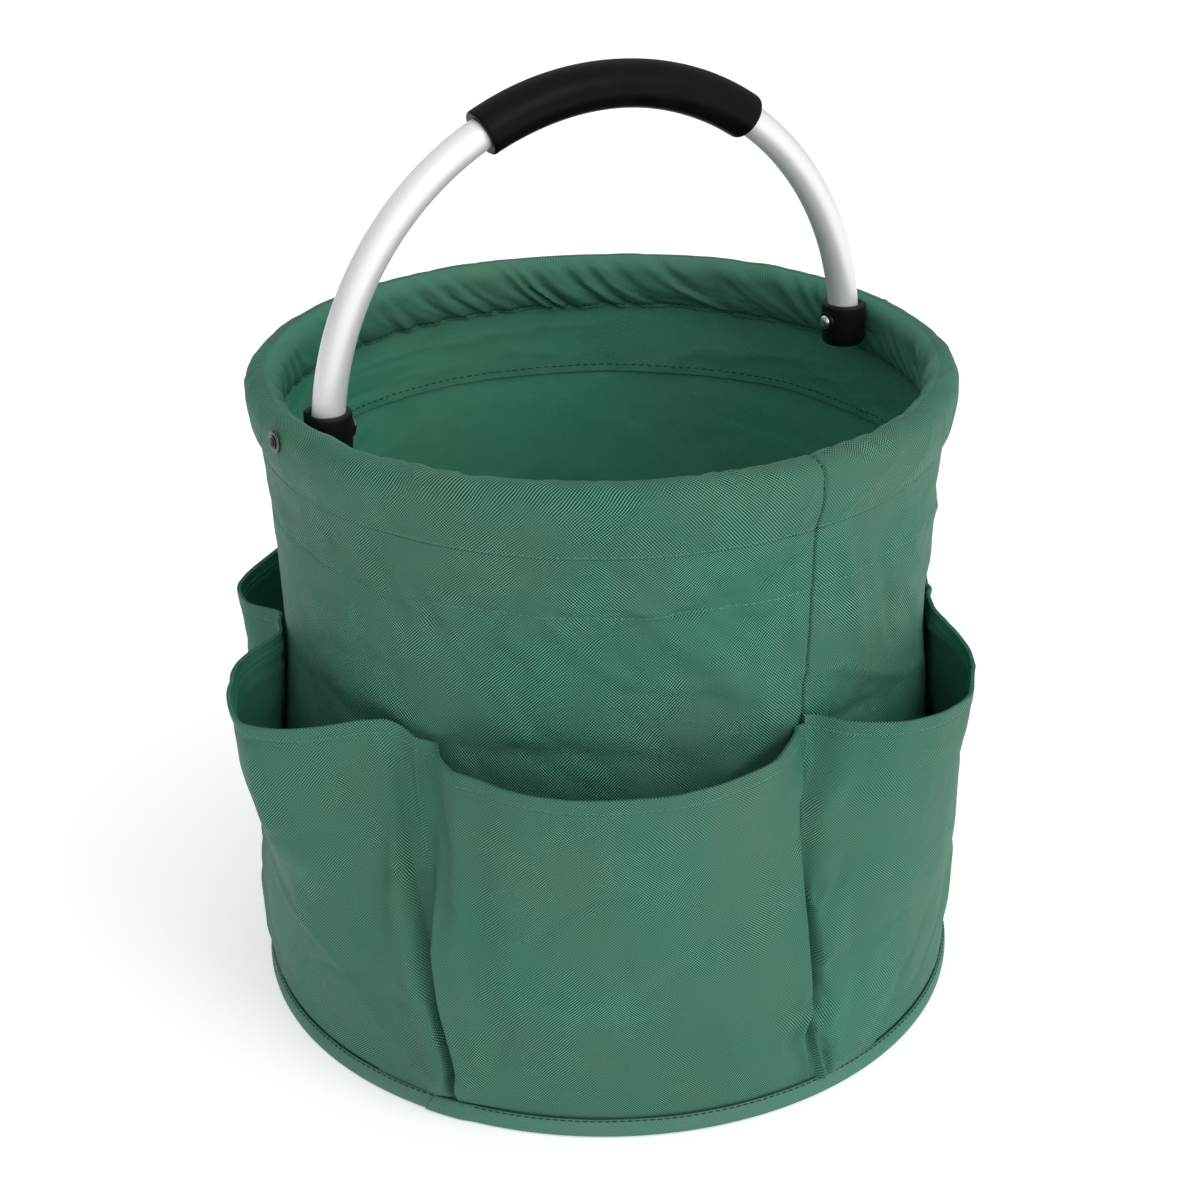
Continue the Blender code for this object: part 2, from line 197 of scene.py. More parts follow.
# ------------------------------------------------------------------ materials
class Nodes:
    """Short names for building the nodes of a material or a world."""

    def __init__(self, owner):
        owner.use_nodes = True
        self.owner = owner
        self.tree = owner.node_tree
        nodes = self.tree.nodes
        self.main = nodes.get("Principled BSDF") or nodes["Background"]

    def give(self, socket, value):
        """Join an input to an output, or set it to a number, a colour or a list."""
        if isinstance(value, bpy.types.NodeSocket):
            self.tree.links.new(value, socket)
        else:
            socket.default_value = (*value, 1.0) if isinstance(value, tuple) else value

    def node(self, kind, inputs, output=0, **settings):
        made = self.tree.nodes.new(kind)
        for key, value in settings.items():
            setattr(made, key, value)
        for key, value in inputs.items():
            self.give(made.inputs[key], value)
        return made.outputs[output]

    def finish(self, **inputs):
        """Fill the main node, and give back the material or world."""
        for name, value in inputs.items():
            self.give(self.main.inputs[name.replace("_", " ")], value)
        return self.owner

    def place(self):
        return self.node("ShaderNodeTexCoord", {}, "Object")

    def uv(self):
        return self.node("ShaderNodeUVMap", {}, "UV", uv_map="UVMap")

    def maths(self, operation, *values):
        return self.node("ShaderNodeMath", dict(enumerate(values)), operation=operation)

    def line(self, value, times, plus):
        return self.maths("ADD", self.maths("MULTIPLY", value, times), plus)

    def noise(self, vector, scale, detail=2.0, roughness=0.5):
        return self.node("ShaderNodeTexNoise", {"Vector": vector, "Scale": scale,
                                                "Detail": detail, "Roughness": roughness}, "Fac")

    def blend(self, share, a, b, mode="MIX"):
        return self.node("ShaderNodeMix", {0: share, 6: a, 7: b}, 2, data_type="RGBA",
                         blend_type=mode)

    def ramp(self, value, low, high):
        return self.node("ShaderNodeMapRange",
                         {"Value": value, "From Min": low, "From Max": high}, "Result")

    def bump(self, height, strength, distance, **more):
        return self.node("ShaderNodeBump", {"Height": height, "Strength": strength,
                                            "Distance": distance, **more}, "Normal")


def material(name):
    """The nodes of a new material."""
    return Nodes(bpy.data.materials.new(name))


def scaled(colour, factor):
    """A colour made lighter or darker."""
    return tuple(min(1.0, c * factor) for c in colour)


def woven(name, colour, pitch=0.00145, depth=0.6, rib_shading=2.2, reach=(0.42, 0.62)):
    """Coated basket-weave cloth whose ribs lean one way or the other, with uneven dye and painted
    shade and highlight on the ribs.
    """
    s = material(name)
    uv = s.uv()
    place = s.place()
    across = s.node("ShaderNodeSeparateXYZ", {0: uv})
    wobble = s.maths("MULTIPLY", s.maths("SUBTRACT", s.noise(uv, 60.0), 0.5), 0.0014)
    turn = 2.0 * math.pi / pitch
    u = s.maths("MULTIPLY", s.maths("ADD", across, wobble), turn)
    v = s.maths("MULTIPLY", s.maths("SUBTRACT", across.node.outputs[1], wobble), turn)
    rise = s.maths("COSINE", s.maths("SUBTRACT", u, v))
    fall = s.maths("COSINE", s.maths("ADD", u, v))
    way = s.line(s.ramp(s.noise(place, 24.0), 0.38, 0.62), 0.44, 0.28)
    ribs = s.maths("ADD", s.maths("MULTIPLY", rise, way),
                   s.maths("MULTIPLY", fall, s.maths("SUBTRACT", 1.0, way)))
    patchy = s.ramp(s.noise(place, 34.0, 4.0, 0.68), *reach)
    shown = s.maths("MULTIPLY", s.line(patchy, 0.78, 0.22), rib_shading)
    # The ribs' tone in the colour is painted shade and highlight of the weave, over the real bump.
    tone = s.maths("MINIMUM", s.maths("MAXIMUM", s.line(ribs, shown, 1.0), 0.12), 2.6)
    drift = s.line(s.noise(place, 11.0, 4.0, 0.6), 0.26, 0.87)
    fleck = s.line(s.ramp(s.noise(uv, 1300.0, 1.0), 0.35, 0.75), 0.1, 0.95)
    tone = s.maths("MULTIPLY", s.maths("MULTIPLY", tone, drift), fleck)
    r, g, b = colour
    tint = s.blend(s.ramp(s.noise(place, 16.0, 3.0), 0.35, 0.7), (r * 1.1, g * 0.99, b * 1.01),
                   (r * 0.78, g * 1.03, b * 1.03))
    grey = s.node("ShaderNodeCombineXYZ", {0: tone, 1: tone, 2: tone})
    crumple = s.bump(s.noise(place, 62.0, 5.0, 0.58), 0.55, 0.0016)
    height = s.maths("MULTIPLY", ribs, s.line(patchy, 0.6, 0.4))
    return s.finish(Base_Color=s.blend(1.0, tint, grey, "MULTIPLY"),
                    Normal=s.bump(height, depth, 0.00016, Normal=crumple),
                    Roughness=s.line(s.noise(place, 60.0), 0.16, 0.52), Specular_IOR_Level=0.16,
                    Sheen_Weight=0.03, Sheen_Roughness=0.4, Sheen_Tint=(0.3, 0.8, 0.6))


def thread(name, colour):
    """Twisted sewing thread."""
    s = material(name)
    grain = s.noise(s.place(), 900.0)
    return s.finish(Base_Color=s.blend(grain, scaled(colour, 0.75), scaled(colour, 1.25)),
                    Normal=s.bump(grain, 0.4, 0.0002), Roughness=0.6, Specular_IOR_Level=0.12)


def satin_aluminium(name, colour=(0.85, 0.85, 0.855), rough=0.42, metal=0.42):
    """Drawn, satin-anodised aluminium with faint lengthwise lines."""
    s = material(name)
    drawn = s.node("ShaderNodeMapping", {"Vector": s.uv(), "Scale": [12.0, 2600.0, 1.0]})
    lines = s.noise(drawn, 1.0, 3.0, 0.6)
    return s.finish(Base_Color=s.blend(lines, scaled(colour, 0.94), colour),
                    Roughness=s.line(s.noise(s.place(), 45.0, 3.0), 0.12, rough - 0.05),
                    Normal=s.bump(lines, 0.1, 0.0001), Metallic=metal)


def foam(name):
    """Dense black foam rubber with fine pores and rubbed patches."""
    s = material(name)
    rub = s.ramp(s.noise(s.place(), 55.0, 3.0), 0.35, 0.75)
    return s.finish(Base_Color=s.blend(rub, (0.0025, 0.0025, 0.0027), (0.0048, 0.0048, 0.005)),
                    Normal=s.bump(s.noise(s.place(), 2200.0, 3.0, 0.7), 0.35, 0.00018),
                    Roughness=s.line(rub, 0.1, 0.27), Specular_IOR_Level=0.07)


def moulded(name):
    """Black moulded nylon with a fine spark texture."""
    s = material(name)
    grain = s.noise(s.place(), 1600.0)
    patches = s.noise(s.place(), 80.0)
    return s.finish(Base_Color=s.blend(patches, (0.003, 0.003, 0.0033), (0.006, 0.006, 0.0063)),
                    Normal=s.bump(grain, 0.16, 0.0001), Roughness=s.line(grain, 0.12, 0.34),
                    Specular_IOR_Level=0.2)


def plated(name, colour, rough):
    """Plated steel with small scuffs."""
    s = material(name)
    scuff = s.noise(s.place(), 700.0, 4.0, 0.7)
    return s.finish(Base_Color=s.blend(scuff, scaled(colour, 0.8), colour), Metallic=1.0,
                    Roughness=s.line(scuff, 0.15, rough), Normal=s.bump(scuff, 0.08, 0.0001))


# ------------------------------------------------------------------ meshes
def shade(mesh):
    """Smooth shading that keeps sharp corners."""
    mesh.polygons.foreach_set("use_smooth", [True] * len(mesh.polygons))
    mesh.set_sharp_from_angle(angle=math.radians(62.0))


def build(name, verts, faces, look, loop_uv=None):
    """One smooth mesh object."""
    mesh = bpy.data.meshes.new(name)
    mesh.from_pydata(np.asarray(verts).reshape(-1, 3).tolist(), [], faces)
    if loop_uv is not None:
        layer = mesh.uv_layers.new(name="UVMap")
        layer.data.foreach_set("uv", np.asarray(loop_uv, dtype=np.float32).ravel())
    shade(mesh)
    mesh.update()
    made = bpy.data.objects.new(name, mesh)
    bpy.context.scene.collection.objects.link(made)
    mesh.materials.append(look)
    return made


def second_look(obj, look, chosen):
    """Give some faces of a piece a second material."""
    obj.data.materials.append(look)
    index = np.zeros(len(obj.data.polygons), dtype=np.int32)
    index[:len(chosen)] = chosen
    obj.data.polygons.foreach_set("material_index", index)


def grid_normals(points, closed):
    """Outward normals of a grid whose rows go up and whose columns go round."""
    if closed:
        across = np.roll(points, -1, axis=1) - np.roll(points, 1, axis=1)
    else:
        across = np.gradient(points, axis=1)
    up = np.gradient(points, axis=0)
    normal = np.cross(across, up)
    return normal / np.maximum(np.linalg.norm(normal, axis=2, keepdims=True), 1e-12)


def grid_lengths(points, closed):
    """Mean length of the rows and of the columns of a grid."""
    ring = np.concatenate([points, points[:, :1]], axis=1) if closed else points
    row = np.linalg.norm(np.diff(ring, axis=1), axis=2).sum(axis=1).mean()
    column = np.linalg.norm(np.diff(points, axis=0), axis=2).sum(axis=0).mean()
    return float(row), float(column)


def cloth_uv(points, closed):
    """Lengths along the cloth, across from the middle of each row and up from the bottom."""
    ring = np.concatenate([points, points[:, :1]], axis=1) if closed else points
    run = np.zeros(ring.shape[:2])
    run[:, 1:] = np.cumsum(np.linalg.norm(np.diff(ring, axis=1), axis=2), axis=1)
    run -= run[:, ring.shape[1] // 2][:, None]
    reach = max(1, len(run) // 6)
    padded = np.pad(run, ((reach + 1, reach), (0, 0)), mode="edge")
    total = np.cumsum(padded, axis=0)
    run = (total[2 * reach + 1:] - total[:-2 * reach - 1]) / (2 * reach + 1)
    rise = np.zeros(ring.shape[:2])
    steps = np.linalg.norm(np.diff(ring, axis=0), axis=2).mean(axis=1)
    rise[1:] = np.cumsum(steps)[:, None]
    return np.stack([run, rise], -1)


def cloth_piece(name, outer, thick, closed, uv, look, inner=None, back=None):
    """A closed sheet: an outer grid, an inner grid and the edges between them."""
    rows, cols = outer.shape[:2]
    if inner is None:
        inner = outer - grid_normals(outer, closed) * thick
    verts = np.concatenate([outer.reshape(-1, 3), inner.reshape(-1, 3)])
    start = rows * cols
    faces = []
    loops = []
    last = cols if closed else cols - 1

    def add(corners, grids):
        faces.append(corners)
        loops.extend(uv[i, j] for i, j in grids)

    for i in range(rows - 1):
        for j in range(last):
            k = (j + 1) % cols
            a, b, c, d = i * cols + j, i * cols + k, (i + 1) * cols + k, (i + 1) * cols + j
            at = ((i, j), (i, j + 1), (i + 1, j + 1), (i + 1, j))
            add((a, b, c, d), at)
            add((start + d, start + c, start + b, start + a), at[::-1])
    for j in range(last):
        k = (j + 1) % cols
        at = ((0, j), (0, j), (0, j + 1), (0, j + 1))
        add((j, start + j, start + k, k), at)
        top = (rows - 1) * cols
        at = ((rows - 1, j), (rows - 1, j + 1), (rows - 1, j + 1), (rows - 1, j))
        add((top + j, top + k, start + top + k, start + top + j), at)
    if not closed:
        for i in range(rows - 1):
            a, b = i * cols, (i + 1) * cols
            add((a, b, start + b, start + a), ((i, 0), (i + 1, 0), (i + 1, 0), (i, 0)))
            a, b = i * cols + cols - 1, (i + 1) * cols + cols - 1
            at = ((i, cols - 1), (i, cols - 1), (i + 1, cols - 1), (i + 1, cols - 1))
            add((a, start + a, start + b, b), at)
    made = build(name, verts, faces, look, loops)
    if back is not None:
        second_look(made, back, [0, 1] * ((rows - 1) * last))
    return made


def sewn_line(name, path, outward, look, pitch=0.004, length=0.0031, radius=0.00028,
              proud=0.00012, slant=0.0, wander=0.0, seed=3, closed=False):
    """A row of stitches lying along a path on cloth."""
    path = np.asarray(path, float)
    outward = np.asarray(outward, float)
    if closed:
        path = np.concatenate([path, path[:1]])
        outward = np.concatenate([outward, outward[:1]])
    run = np.concatenate([[0.0], np.cumsum(np.linalg.norm(np.diff(path, axis=0), axis=1))])
    count = max(1, int(run[-1] / pitch))
    rnd = np.random.RandomState(seed)
    rings, sides = 5, 6
    verts = []
    faces = []

    def value(line, at):
        return np.array([np.interp(at, run, line[:, k]) for k in range(3)])

    for n in range(count):
        middle = (n + 0.5) * run[-1] / count
        half = length / 2 * rnd.uniform(0.88, 1.06)
        shift = rnd.uniform(-wander, wander)
        base = len(verts)
        for r in range(rings):
            t = -1.0 + 2.0 * r / (rings - 1)
            at = middle + half * t
            way = value(path, at + 0.0004) - value(path, at - 0.0004)
            way /= max(np.linalg.norm(way), 1e-9)
            out = value(outward, at)
            out = out - way * (out @ way)
            out /= max(np.linalg.norm(out), 1e-9)
            side = np.cross(way, out)
            p = value(path, at) + side * (shift + slant * t)
            p = p + out * (proud - 0.9 * radius * abs(t) ** 3)
            size = radius * (1.0 - 0.45 * abs(t) ** 3)
            for q in range(sides):
                turn = 2.0 * math.pi * q / sides
                verts.append(p + size * (out * math.cos(turn) + side * math.sin(turn)))
        for a in range(base, base + (rings - 1) * sides):
            b = a + 1 if (a - base + 1) % sides else a + 1 - sides
            faces.append((a, b, b + sides, a + sides))
        faces.append(tuple(range(base + sides - 1, base - 1, -1)))
        faces.append(tuple(range(base + (rings - 1) * sides, base + rings * sides)))
    return build(name, np.array(verts), faces, look)


def seam_stitches(name, points, psi, z, rows, seed):
    """Stitches up the upright seam, over some rows of a grid."""
    normals = grid_normals(points, True)
    at = [(i, int(np.argmin(np.abs(psi - seam_angle(z[i]))))) for i in rows]
    return sewn_line(name, [points[k] for k in at], [normals[k] for k in at], dark_thread,
                     pitch=0.0031, length=0.0027, radius=0.00033, proud=0.00022, slant=0.00022,
                     seed=seed)


def turned(name, profile, steps, place, look):
    """A shape turned about an axis through both ends of an outline of (along, radius)."""
    verts = [place(profile[0][0], 0.0, 0.0)]
    for along, radius in profile[1:-1]:
        for i in range(steps):
            turn = 2.0 * math.pi * i / steps
            verts.append(place(along, radius * math.cos(turn), radius * math.sin(turn)))
    verts.append(place(profile[-1][0], 0.0, 0.0))
    loops = len(profile) - 2
    last = len(verts) - 1
    faces = []
    for i in range(steps):
        k = (i + 1) % steps
        faces.append((0, 1 + k, 1 + i))
        base = 1 + (loops - 1) * steps
        faces.append((last, base + i, base + k))
        for loop in range(loops - 1):
            a = 1 + loop * steps
            faces.append((a + i, a + k, a + k + steps, a + i + steps))
    return fix_normals(build(name, np.array(verts), faces, look))


def fix_normals(obj):
    """Turn all faces outward."""
    work = bmesh.new()
    work.from_mesh(obj.data)
    bmesh.ops.remove_doubles(work, verts=work.verts, dist=1e-7)
    bmesh.ops.recalc_face_normals(work, faces=work.faces)
    work.to_mesh(obj.data)
    work.free()
    shade(obj.data)
    return obj


# ------------------------------------------------------------------ materials in use
cloth_look = woven("bag_cloth", GREEN, reach=(0.42, 0.6))
pocket_look = woven("pocket_cloth", scaled(GREEN, 1.01), reach=(0.46, 0.7))
# The inside half of the rim's sleeve is the outside cloth painted lighter, standing in for light
# inside the mouth.
hem_inside_look_painted_lighter = woven("hem_inside_cloth_painted_lighter", scaled(GREEN, 1.3), rib_shading=0.35, depth=0.3)
# The facing and lining cloth are painted lighter than the outside cloth, standing in for light
# inside the bag.
facing_look_painted_lighter = woven("facing_cloth", LINING_GREEN_PAINTED_LIGHTER, rib_shading=0.12)
lining_look_painted_lighter = woven("lining_cloth_painted_lighter", scaled(LINING_GREEN_PAINTED_LIGHTER, 1.12), rib_shading=0.07, depth=0.2)
tape_look = woven("tape_cloth", TAPE_GREEN, pitch=0.0015, depth=0.35, rib_shading=0.35)
light_thread = thread("light_thread", THREAD_LIGHT)
dark_thread = thread("dark_thread", THREAD_DARK)
tube_look = satin_aluminium("handle_tube_metal")
hoop_look = satin_aluminium("hoop_metal", (0.7, 0.7, 0.71), 0.4, 1.0)
foam_look = foam("grip_foam")
socket_look = moulded("socket_nylon")
rivet_look = plated("rivet_plate", (0.6, 0.6, 0.61), 0.2)
eyelet_look = plated("eyelet_plate", (0.11, 0.12, 0.115), 0.3)
board_look = moulded("board_plastic")


# ------------------------------------------------------------------ wall
WALL = pairs(2, 170, 28, 168.4, 108, 161, 187, 155, 235, 156.6, 264, 158, 276, 159.1, 290, 160.8)
WALL_CREASES = (
    (-71.5, 0.279, -65.0, 0.238, 0.006, -0.0018, 0.5),
    (-64.0, 0.262, -58.0, 0.24, 0.005, -0.002, 0.6),
    (-60.0, 0.243, -47.0, 0.205, 0.008, -0.0018, 0.4),
    (-49.0, 0.246, -42.0, 0.226, 0.006, 0.002, 0.5),
    (-38.0, 0.256, -32.5, 0.249, 0.0028, -0.0012, 0.3),
    (-32.0, 0.279, -18.5, 0.243, 0.0065, -0.0018, 0.7),
    (-25.6, 0.259, -11.0, 0.213, 0.0075, 0.0018, 0.5),
    (-16.5, 0.268, -6.0, 0.236, 0.005, -0.0015, 0.6),
    (-3.0, 0.24, 2.0, 0.205, 0.0045, -0.0014, 0.3),
    (8.0, 0.272, 14.0, 0.225, 0.006, 0.0016, 0.5),
    (18.0, 0.262, 24.0, 0.215, 0.0055, -0.0015, 0.5),
    (27.0, 0.235, 38.0, 0.205, 0.007, 0.0015, 0.5),
)


def line_1(psi):
    """Height of the sewn line under the hoop; it climbs towards the back of the bag."""
    return LINE_1_Z + 0.0028 * (1.0 - np.cos(np.radians(psi - FRONT)))


def join_relief(psi):
    """Small waves where the hem of the rim meets the wall."""
    x = psi / 360.0
    return (0.0005 * lattice(x, 0 * x, 17, 1, 91) + 0.00026 * lattice(x, 0 * x, 83, 1, 93))


def wall_radius(z):
    """Smooth outer radius of the wall at a height."""
    return smooth_table(WALL, z)


def seam_angle(z):
    """Angle of the wall's upright seam at a height."""
    return SEAM_PSI + 0.5 * np.sin((z - 0.19) * 26.0)


def fine_angles(count, dense_at, dense_half=3.0, dense_step=0.12):
    """Angles right round, close together near some of them."""
    angles = list(np.linspace(-180.0, 180.0, count, endpoint=False))
    for at in dense_at:
        near = np.arange(at - dense_half, at + dense_half, dense_step)
        angles = [a for a in angles if abs(turned_to(a, at)) > dense_half]
        angles += list((near + 180.0) % 360.0 - 180.0)
    return np.array(sorted(angles))


def seam_relief(psi, z, radius):
    """The lap of the upright seam: a raised edge beside a narrow groove."""
    off = turned_to(psi, seam_angle(z)) * math.pi / 180.0 * radius
    lap = smooth_step(off, -0.0115, -0.0095) * (1.0 - smooth_step(off, -0.0009, 0.0002))
    groove = bump(off, 0.0004, 0.0008)
    pull = bump(off, 0.0, 0.006)
    return 0.00045 * lap - 0.0015 * groove - 0.0004 * pull


def line_relief(x, z, at, seed):
    """A sewn line pulled into the cloth, with small puckers across it."""
    off = z - at
    pucker = lattice(x, 0 * x, 92, 1, seed) + 0.6 * lattice(x, 0 * x, 171, 1, seed + 1)
    return -0.00042 * bump(off, 0.0, 0.0011) + 0.00034 * pucker * bump(off, 0.0, 0.007)


def wall_height(psi, z):
    """How far the wall stands out from its smooth shape."""
    x = psi / 360.0
    v = z / 0.2825
    arc = psi * WALL_ARC
    total = 0.0013 * layered(x, v, 9, 4, 11, 2)
    total += 0.0013 * layered(x + 0.12 * v, v, 26, 9, 23, 2)
    total += 0.0016 * ridge(lattice(x + 0.22 * v, v, 17, 7, 37), 3.2)
    total -= 0.0016 * ridge(lattice(x - 0.17 * v, v, 15, 7, 41), 3.4)
    total -= 0.0009 * ridge(lattice(x + 0.35 * v, v, 31, 11, 47), 3.0)
    for p0, z0, p1, z1, width, depth, fold in WALL_CREASES:
        total += crease(arc, z, p0 * WALL_ARC, z0, p1 * WALL_ARC, z1, width, depth, fold)
    away = np.abs(turned_to(psi, -21.0))
    total *= smooth_step(z, 0.012, 0.05) * (1.0 - 0.74 * smooth_step(away, 48.0, 84.0))
    total += line_relief(x, z, LINE_2_Z, 51)
    near_top = smooth_step(z, line_1(psi) - 0.013, line_1(psi) - 0.0004)
    return total * (1.0 - near_top) + join_relief(psi) * near_top


def make_wall():
    """The soft side of the bag, with its upright seam and lower sewn line."""
    psi = fine_angles(400, (SEAM_PSI,))
    low = np.linspace(BASE_Z + 0.0004, 0.17, 34)
    mid = np.linspace(0.174, 0.246, 28)
    line = np.arange(0.2485, 0.2615, 0.0007)
    top = np.linspace(0.0, 1.0, 12)[1:]
    z = np.concatenate([low, mid, line, line[-1] + top * (LINE_1_Z - 0.0002 - line[-1]),
                        [LINE_1_Z + 0.0002, LINE_1_Z + 0.003, LINE_1_Z + 0.006]])
    a, h = np.meshgrid(psi, z)
    lift = np.clip((h - line[-1]) / (LINE_1_Z - line[-1]), 0.0, 1.0)
    h = h + (line_1(a) - LINE_1_Z) * lift
    radius = wall_radius(h)
    radius = radius + wall_height(a, h) + seam_relief(a, h, radius)
    radius[-3:] = radius[-4] - 0.0014
    points = around(radius, a, h)
    wall = cloth_piece("wall_cloth", points, CLOTH, True, cloth_uv(points, True), cloth_look,
                       back=lining_look_painted_lighter)
    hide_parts("body_wall")
    normals = grid_normals(points, True)
    row = int(np.argmin(np.abs(z - LINE_2_Z)))
    line = sewn_line("wall_lower_stitching", points[row], normals[row], light_thread,
                     pitch=0.0036, length=0.003, radius=0.00022, proud=0.00003, wander=0.00018,
                     seed=5, closed=True)
    seam = seam_stitches("wall_seam_stitching", points, psi, z, np.flatnonzero(z >= 0.15), 6)
    return [wall, line, seam], grid_lengths(points, True)


def make_facing():
    """The turned-down band inside the mouth, sewn along its lower edge."""
    psi = fine_angles(360, ())
    z = np.concatenate([np.arange(0.2512, 0.259, 0.0006), np.linspace(0.26, 0.2818, 22)])
    a, h = np.meshgrid(psi, z)
    x = a / 360.0
    edge = LINE_2_Z - 0.0034 + 0.0008 * lattice(x, 0 * x, 26, 1, 71)
    h = edge + (h - z[0]) * (line_1(a) - 0.0006 - edge) / (z[-1] - z[0])
    inside = wall_radius(h) + wall_height(a, h) - CLOTH - 0.0003
    relief = 0.0005 * layered(x + 0.5 * (h - 0.265), (h - 0.25) / 0.03, 34, 3, 73, 2)
    relief -= 0.0005 * ridge(lattice(x + 0.9 * (h - 0.265), (h - 0.25) / 0.03, 40, 3, 79), 2.4)
    relief *= smooth_step(h, LINE_2_Z, LINE_2_Z + 0.008)
    radius = inside + np.minimum(relief - 0.0005, 0.0) * 0.9
    radius += 0.0004 * bump(h, LINE_2_Z, 0.001)
    points = around(radius, a, h)
    band = cloth_piece("facing_cloth", points, FACING_CLOTH, True, cloth_uv(points, True),
                       facing_look_painted_lighter)
    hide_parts("facing_band")
    normals = grid_normals(points, True)
    inner = points - normals * FACING_CLOTH
    row = int(np.argmin(np.abs(h[:, 0] - LINE_2_Z)))
    line = sewn_line("facing_stitching", inner[row], -normals[row], dark_thread,
                     pitch=0.0043, length=0.0031, radius=0.00026, proud=0.0001, seed=7,
                     closed=True)
    return [band, line], grid_lengths(points, True)


# ------------------------------------------------------------------ pockets
BULGE = pairs(2.2, 0.8, 10, 1, 28, 2.6, 55, 7.4, 82, 12.8, 108, 17.6, 134, 22.4, 160, 27.4,
              188, 32)
HEM_DEEP = 0.0076
POCKET_LOW_Z = 0.0024
JUNCTIONS = ((-55.5, -62.0), (4.2, 2.0), (62.0, 57.0), (122.0, 121.0), (185.0, 185.0),
             (248.0, 249.0), (304.5, 298.0))
FOLD_LINE = ((0.0, 2.6), (0.009, 1.95), (0.0195, 1.4), (0.028, 0.6), (0.0385, -0.3), (0.044, 0.4),
             (0.05, 1.4), (0.0615, 1.35), (0.082, 1.15), (0.103, 1.15), (0.124, 0.75),
             (0.14, 0.5), (0.157, 0.4), (0.172, 2.3), (0.18, 2.6), (0.2, 2.1))
DART = pairs(0, 0.8, 10, 1.2, 22, 2.6, 36, 4.2, 60, 5.4, 85, 6.6, 100, 9.2, 125, 12.5, 150, 13.5,
             200, 13.5)
LIP = pairs(0, 0.6, 10, 0.7, 90, 1, 105, 2.4, 130, 6, 160, 10, 200, 12)
GULLY = pairs(0, 0.7, 6, 1.6, 12, 2.5, 25, 3.6, 45, 4.1, 58, 3.6, 66, 6, 85, 9, 110, 12, 150, 13.5,
              200, 13.5)
PLEAT = pairs(0, 4, 10, 4.8, 18, 8, 21, 10.4, 34, 9.6, 48, 5.6, 60, 3.6, 85, 3.2, 99, 2.6,
              104.5, 0.8, 110, 2, 125, 5, 200, 9)
PROUD = pairs(0, 0.7, 160, 1.1, 176, 2.2, 200, 5)
PLAN_FRONT_LEFT = pairs(0, 0, 83, 360, 206, 724, 343, 920, 466, 1000, 587, 990, 716, 860, 850, 590,
                        987, 70, 1000, 0)
PLAN_FRONT_RIGHT = pairs(0, 0, 31, 197, 95, 433, 200, 784, 316, 966, 458, 1000, 560, 829, 693, 624,
                         811, 289, 870, 50, 1000, 0)
PLAN_SLACK = pairs(0, 0, 100, 30, 250, 200, 400, 500, 550, 850, 700, 1000, 820, 850, 920, 400,
                   1000, 0)
PLAN_BACK_RIGHT = pairs(0, 0, 60, 120, 140, 500, 250, 820, 380, 980, 500, 1000, 620, 980, 750, 820,
                        860, 500, 940, 120, 1000, 0)
PLAN_BACK_LEFT = pairs(0, 0, 100, 350, 250, 720, 400, 870, 530, 920, 680, 1000, 750, 960, 830, 764,
                       877, 387, 953, 20, 1000, 0)
PLAN_LEFT = pairs(0, 0, 115, 20, 161, 262, 209, 498, 268, 636, 358, 796, 469, 945, 539, 1000,
                  604, 920, 684, 720, 759, 470, 833, 178, 885, 20, 1000, 0)
POCKETS = (
    dict(name="pocket_front_left", junction=0, size=1.0, plan=PLAN_FRONT_LEFT, left=LIP,
         right=PROUD, seed=101,
         top=pairs(0, 186.8, 100, 187.2, 500, 187.4, 750, 187.8, 900, 189, 1000, 190.5)),
    dict(name="pocket_front_right", junction=1, size=1.12, plan=PLAN_FRONT_RIGHT, left=PLEAT,
         right=DART, seed=202,
         top=pairs(0, 195, 100, 193, 250, 190.5, 450, 188, 600, 187.6, 750, 189, 870, 193,
                   1000, 194)),
    dict(name="pocket_right", junction=2, size=0.76, plan=PLAN_SLACK, left=LIP, right=DART,
         seed=303, top=pairs(0, 194, 300, 192, 600, 188, 800, 188, 1000, 193)),
    dict(name="pocket_back_right", junction=3, size=1.0, plan=PLAN_BACK_RIGHT, left=LIP,
         right=DART, seed=404, top=pairs(0, 193, 300, 188, 700, 188, 1000, 194)),
    dict(name="pocket_back_left", junction=4, size=0.83, plan=PLAN_BACK_LEFT, left=LIP,
         right=DART, seed=505,
         top=pairs(0, 194, 300, 189, 700, 188, 880, 191, 1000, 194)),
    dict(name="pocket_left", junction=5, size=1.4, plan=PLAN_LEFT, left=LIP, right=GULLY,
         seed=606,
         top=pairs(0, 194, 115, 194, 210, 190, 360, 188, 540, 188, 700, 190.5, 800, 193,
                   885, 194.8, 940, 190.5, 1000, 186.8)),
)
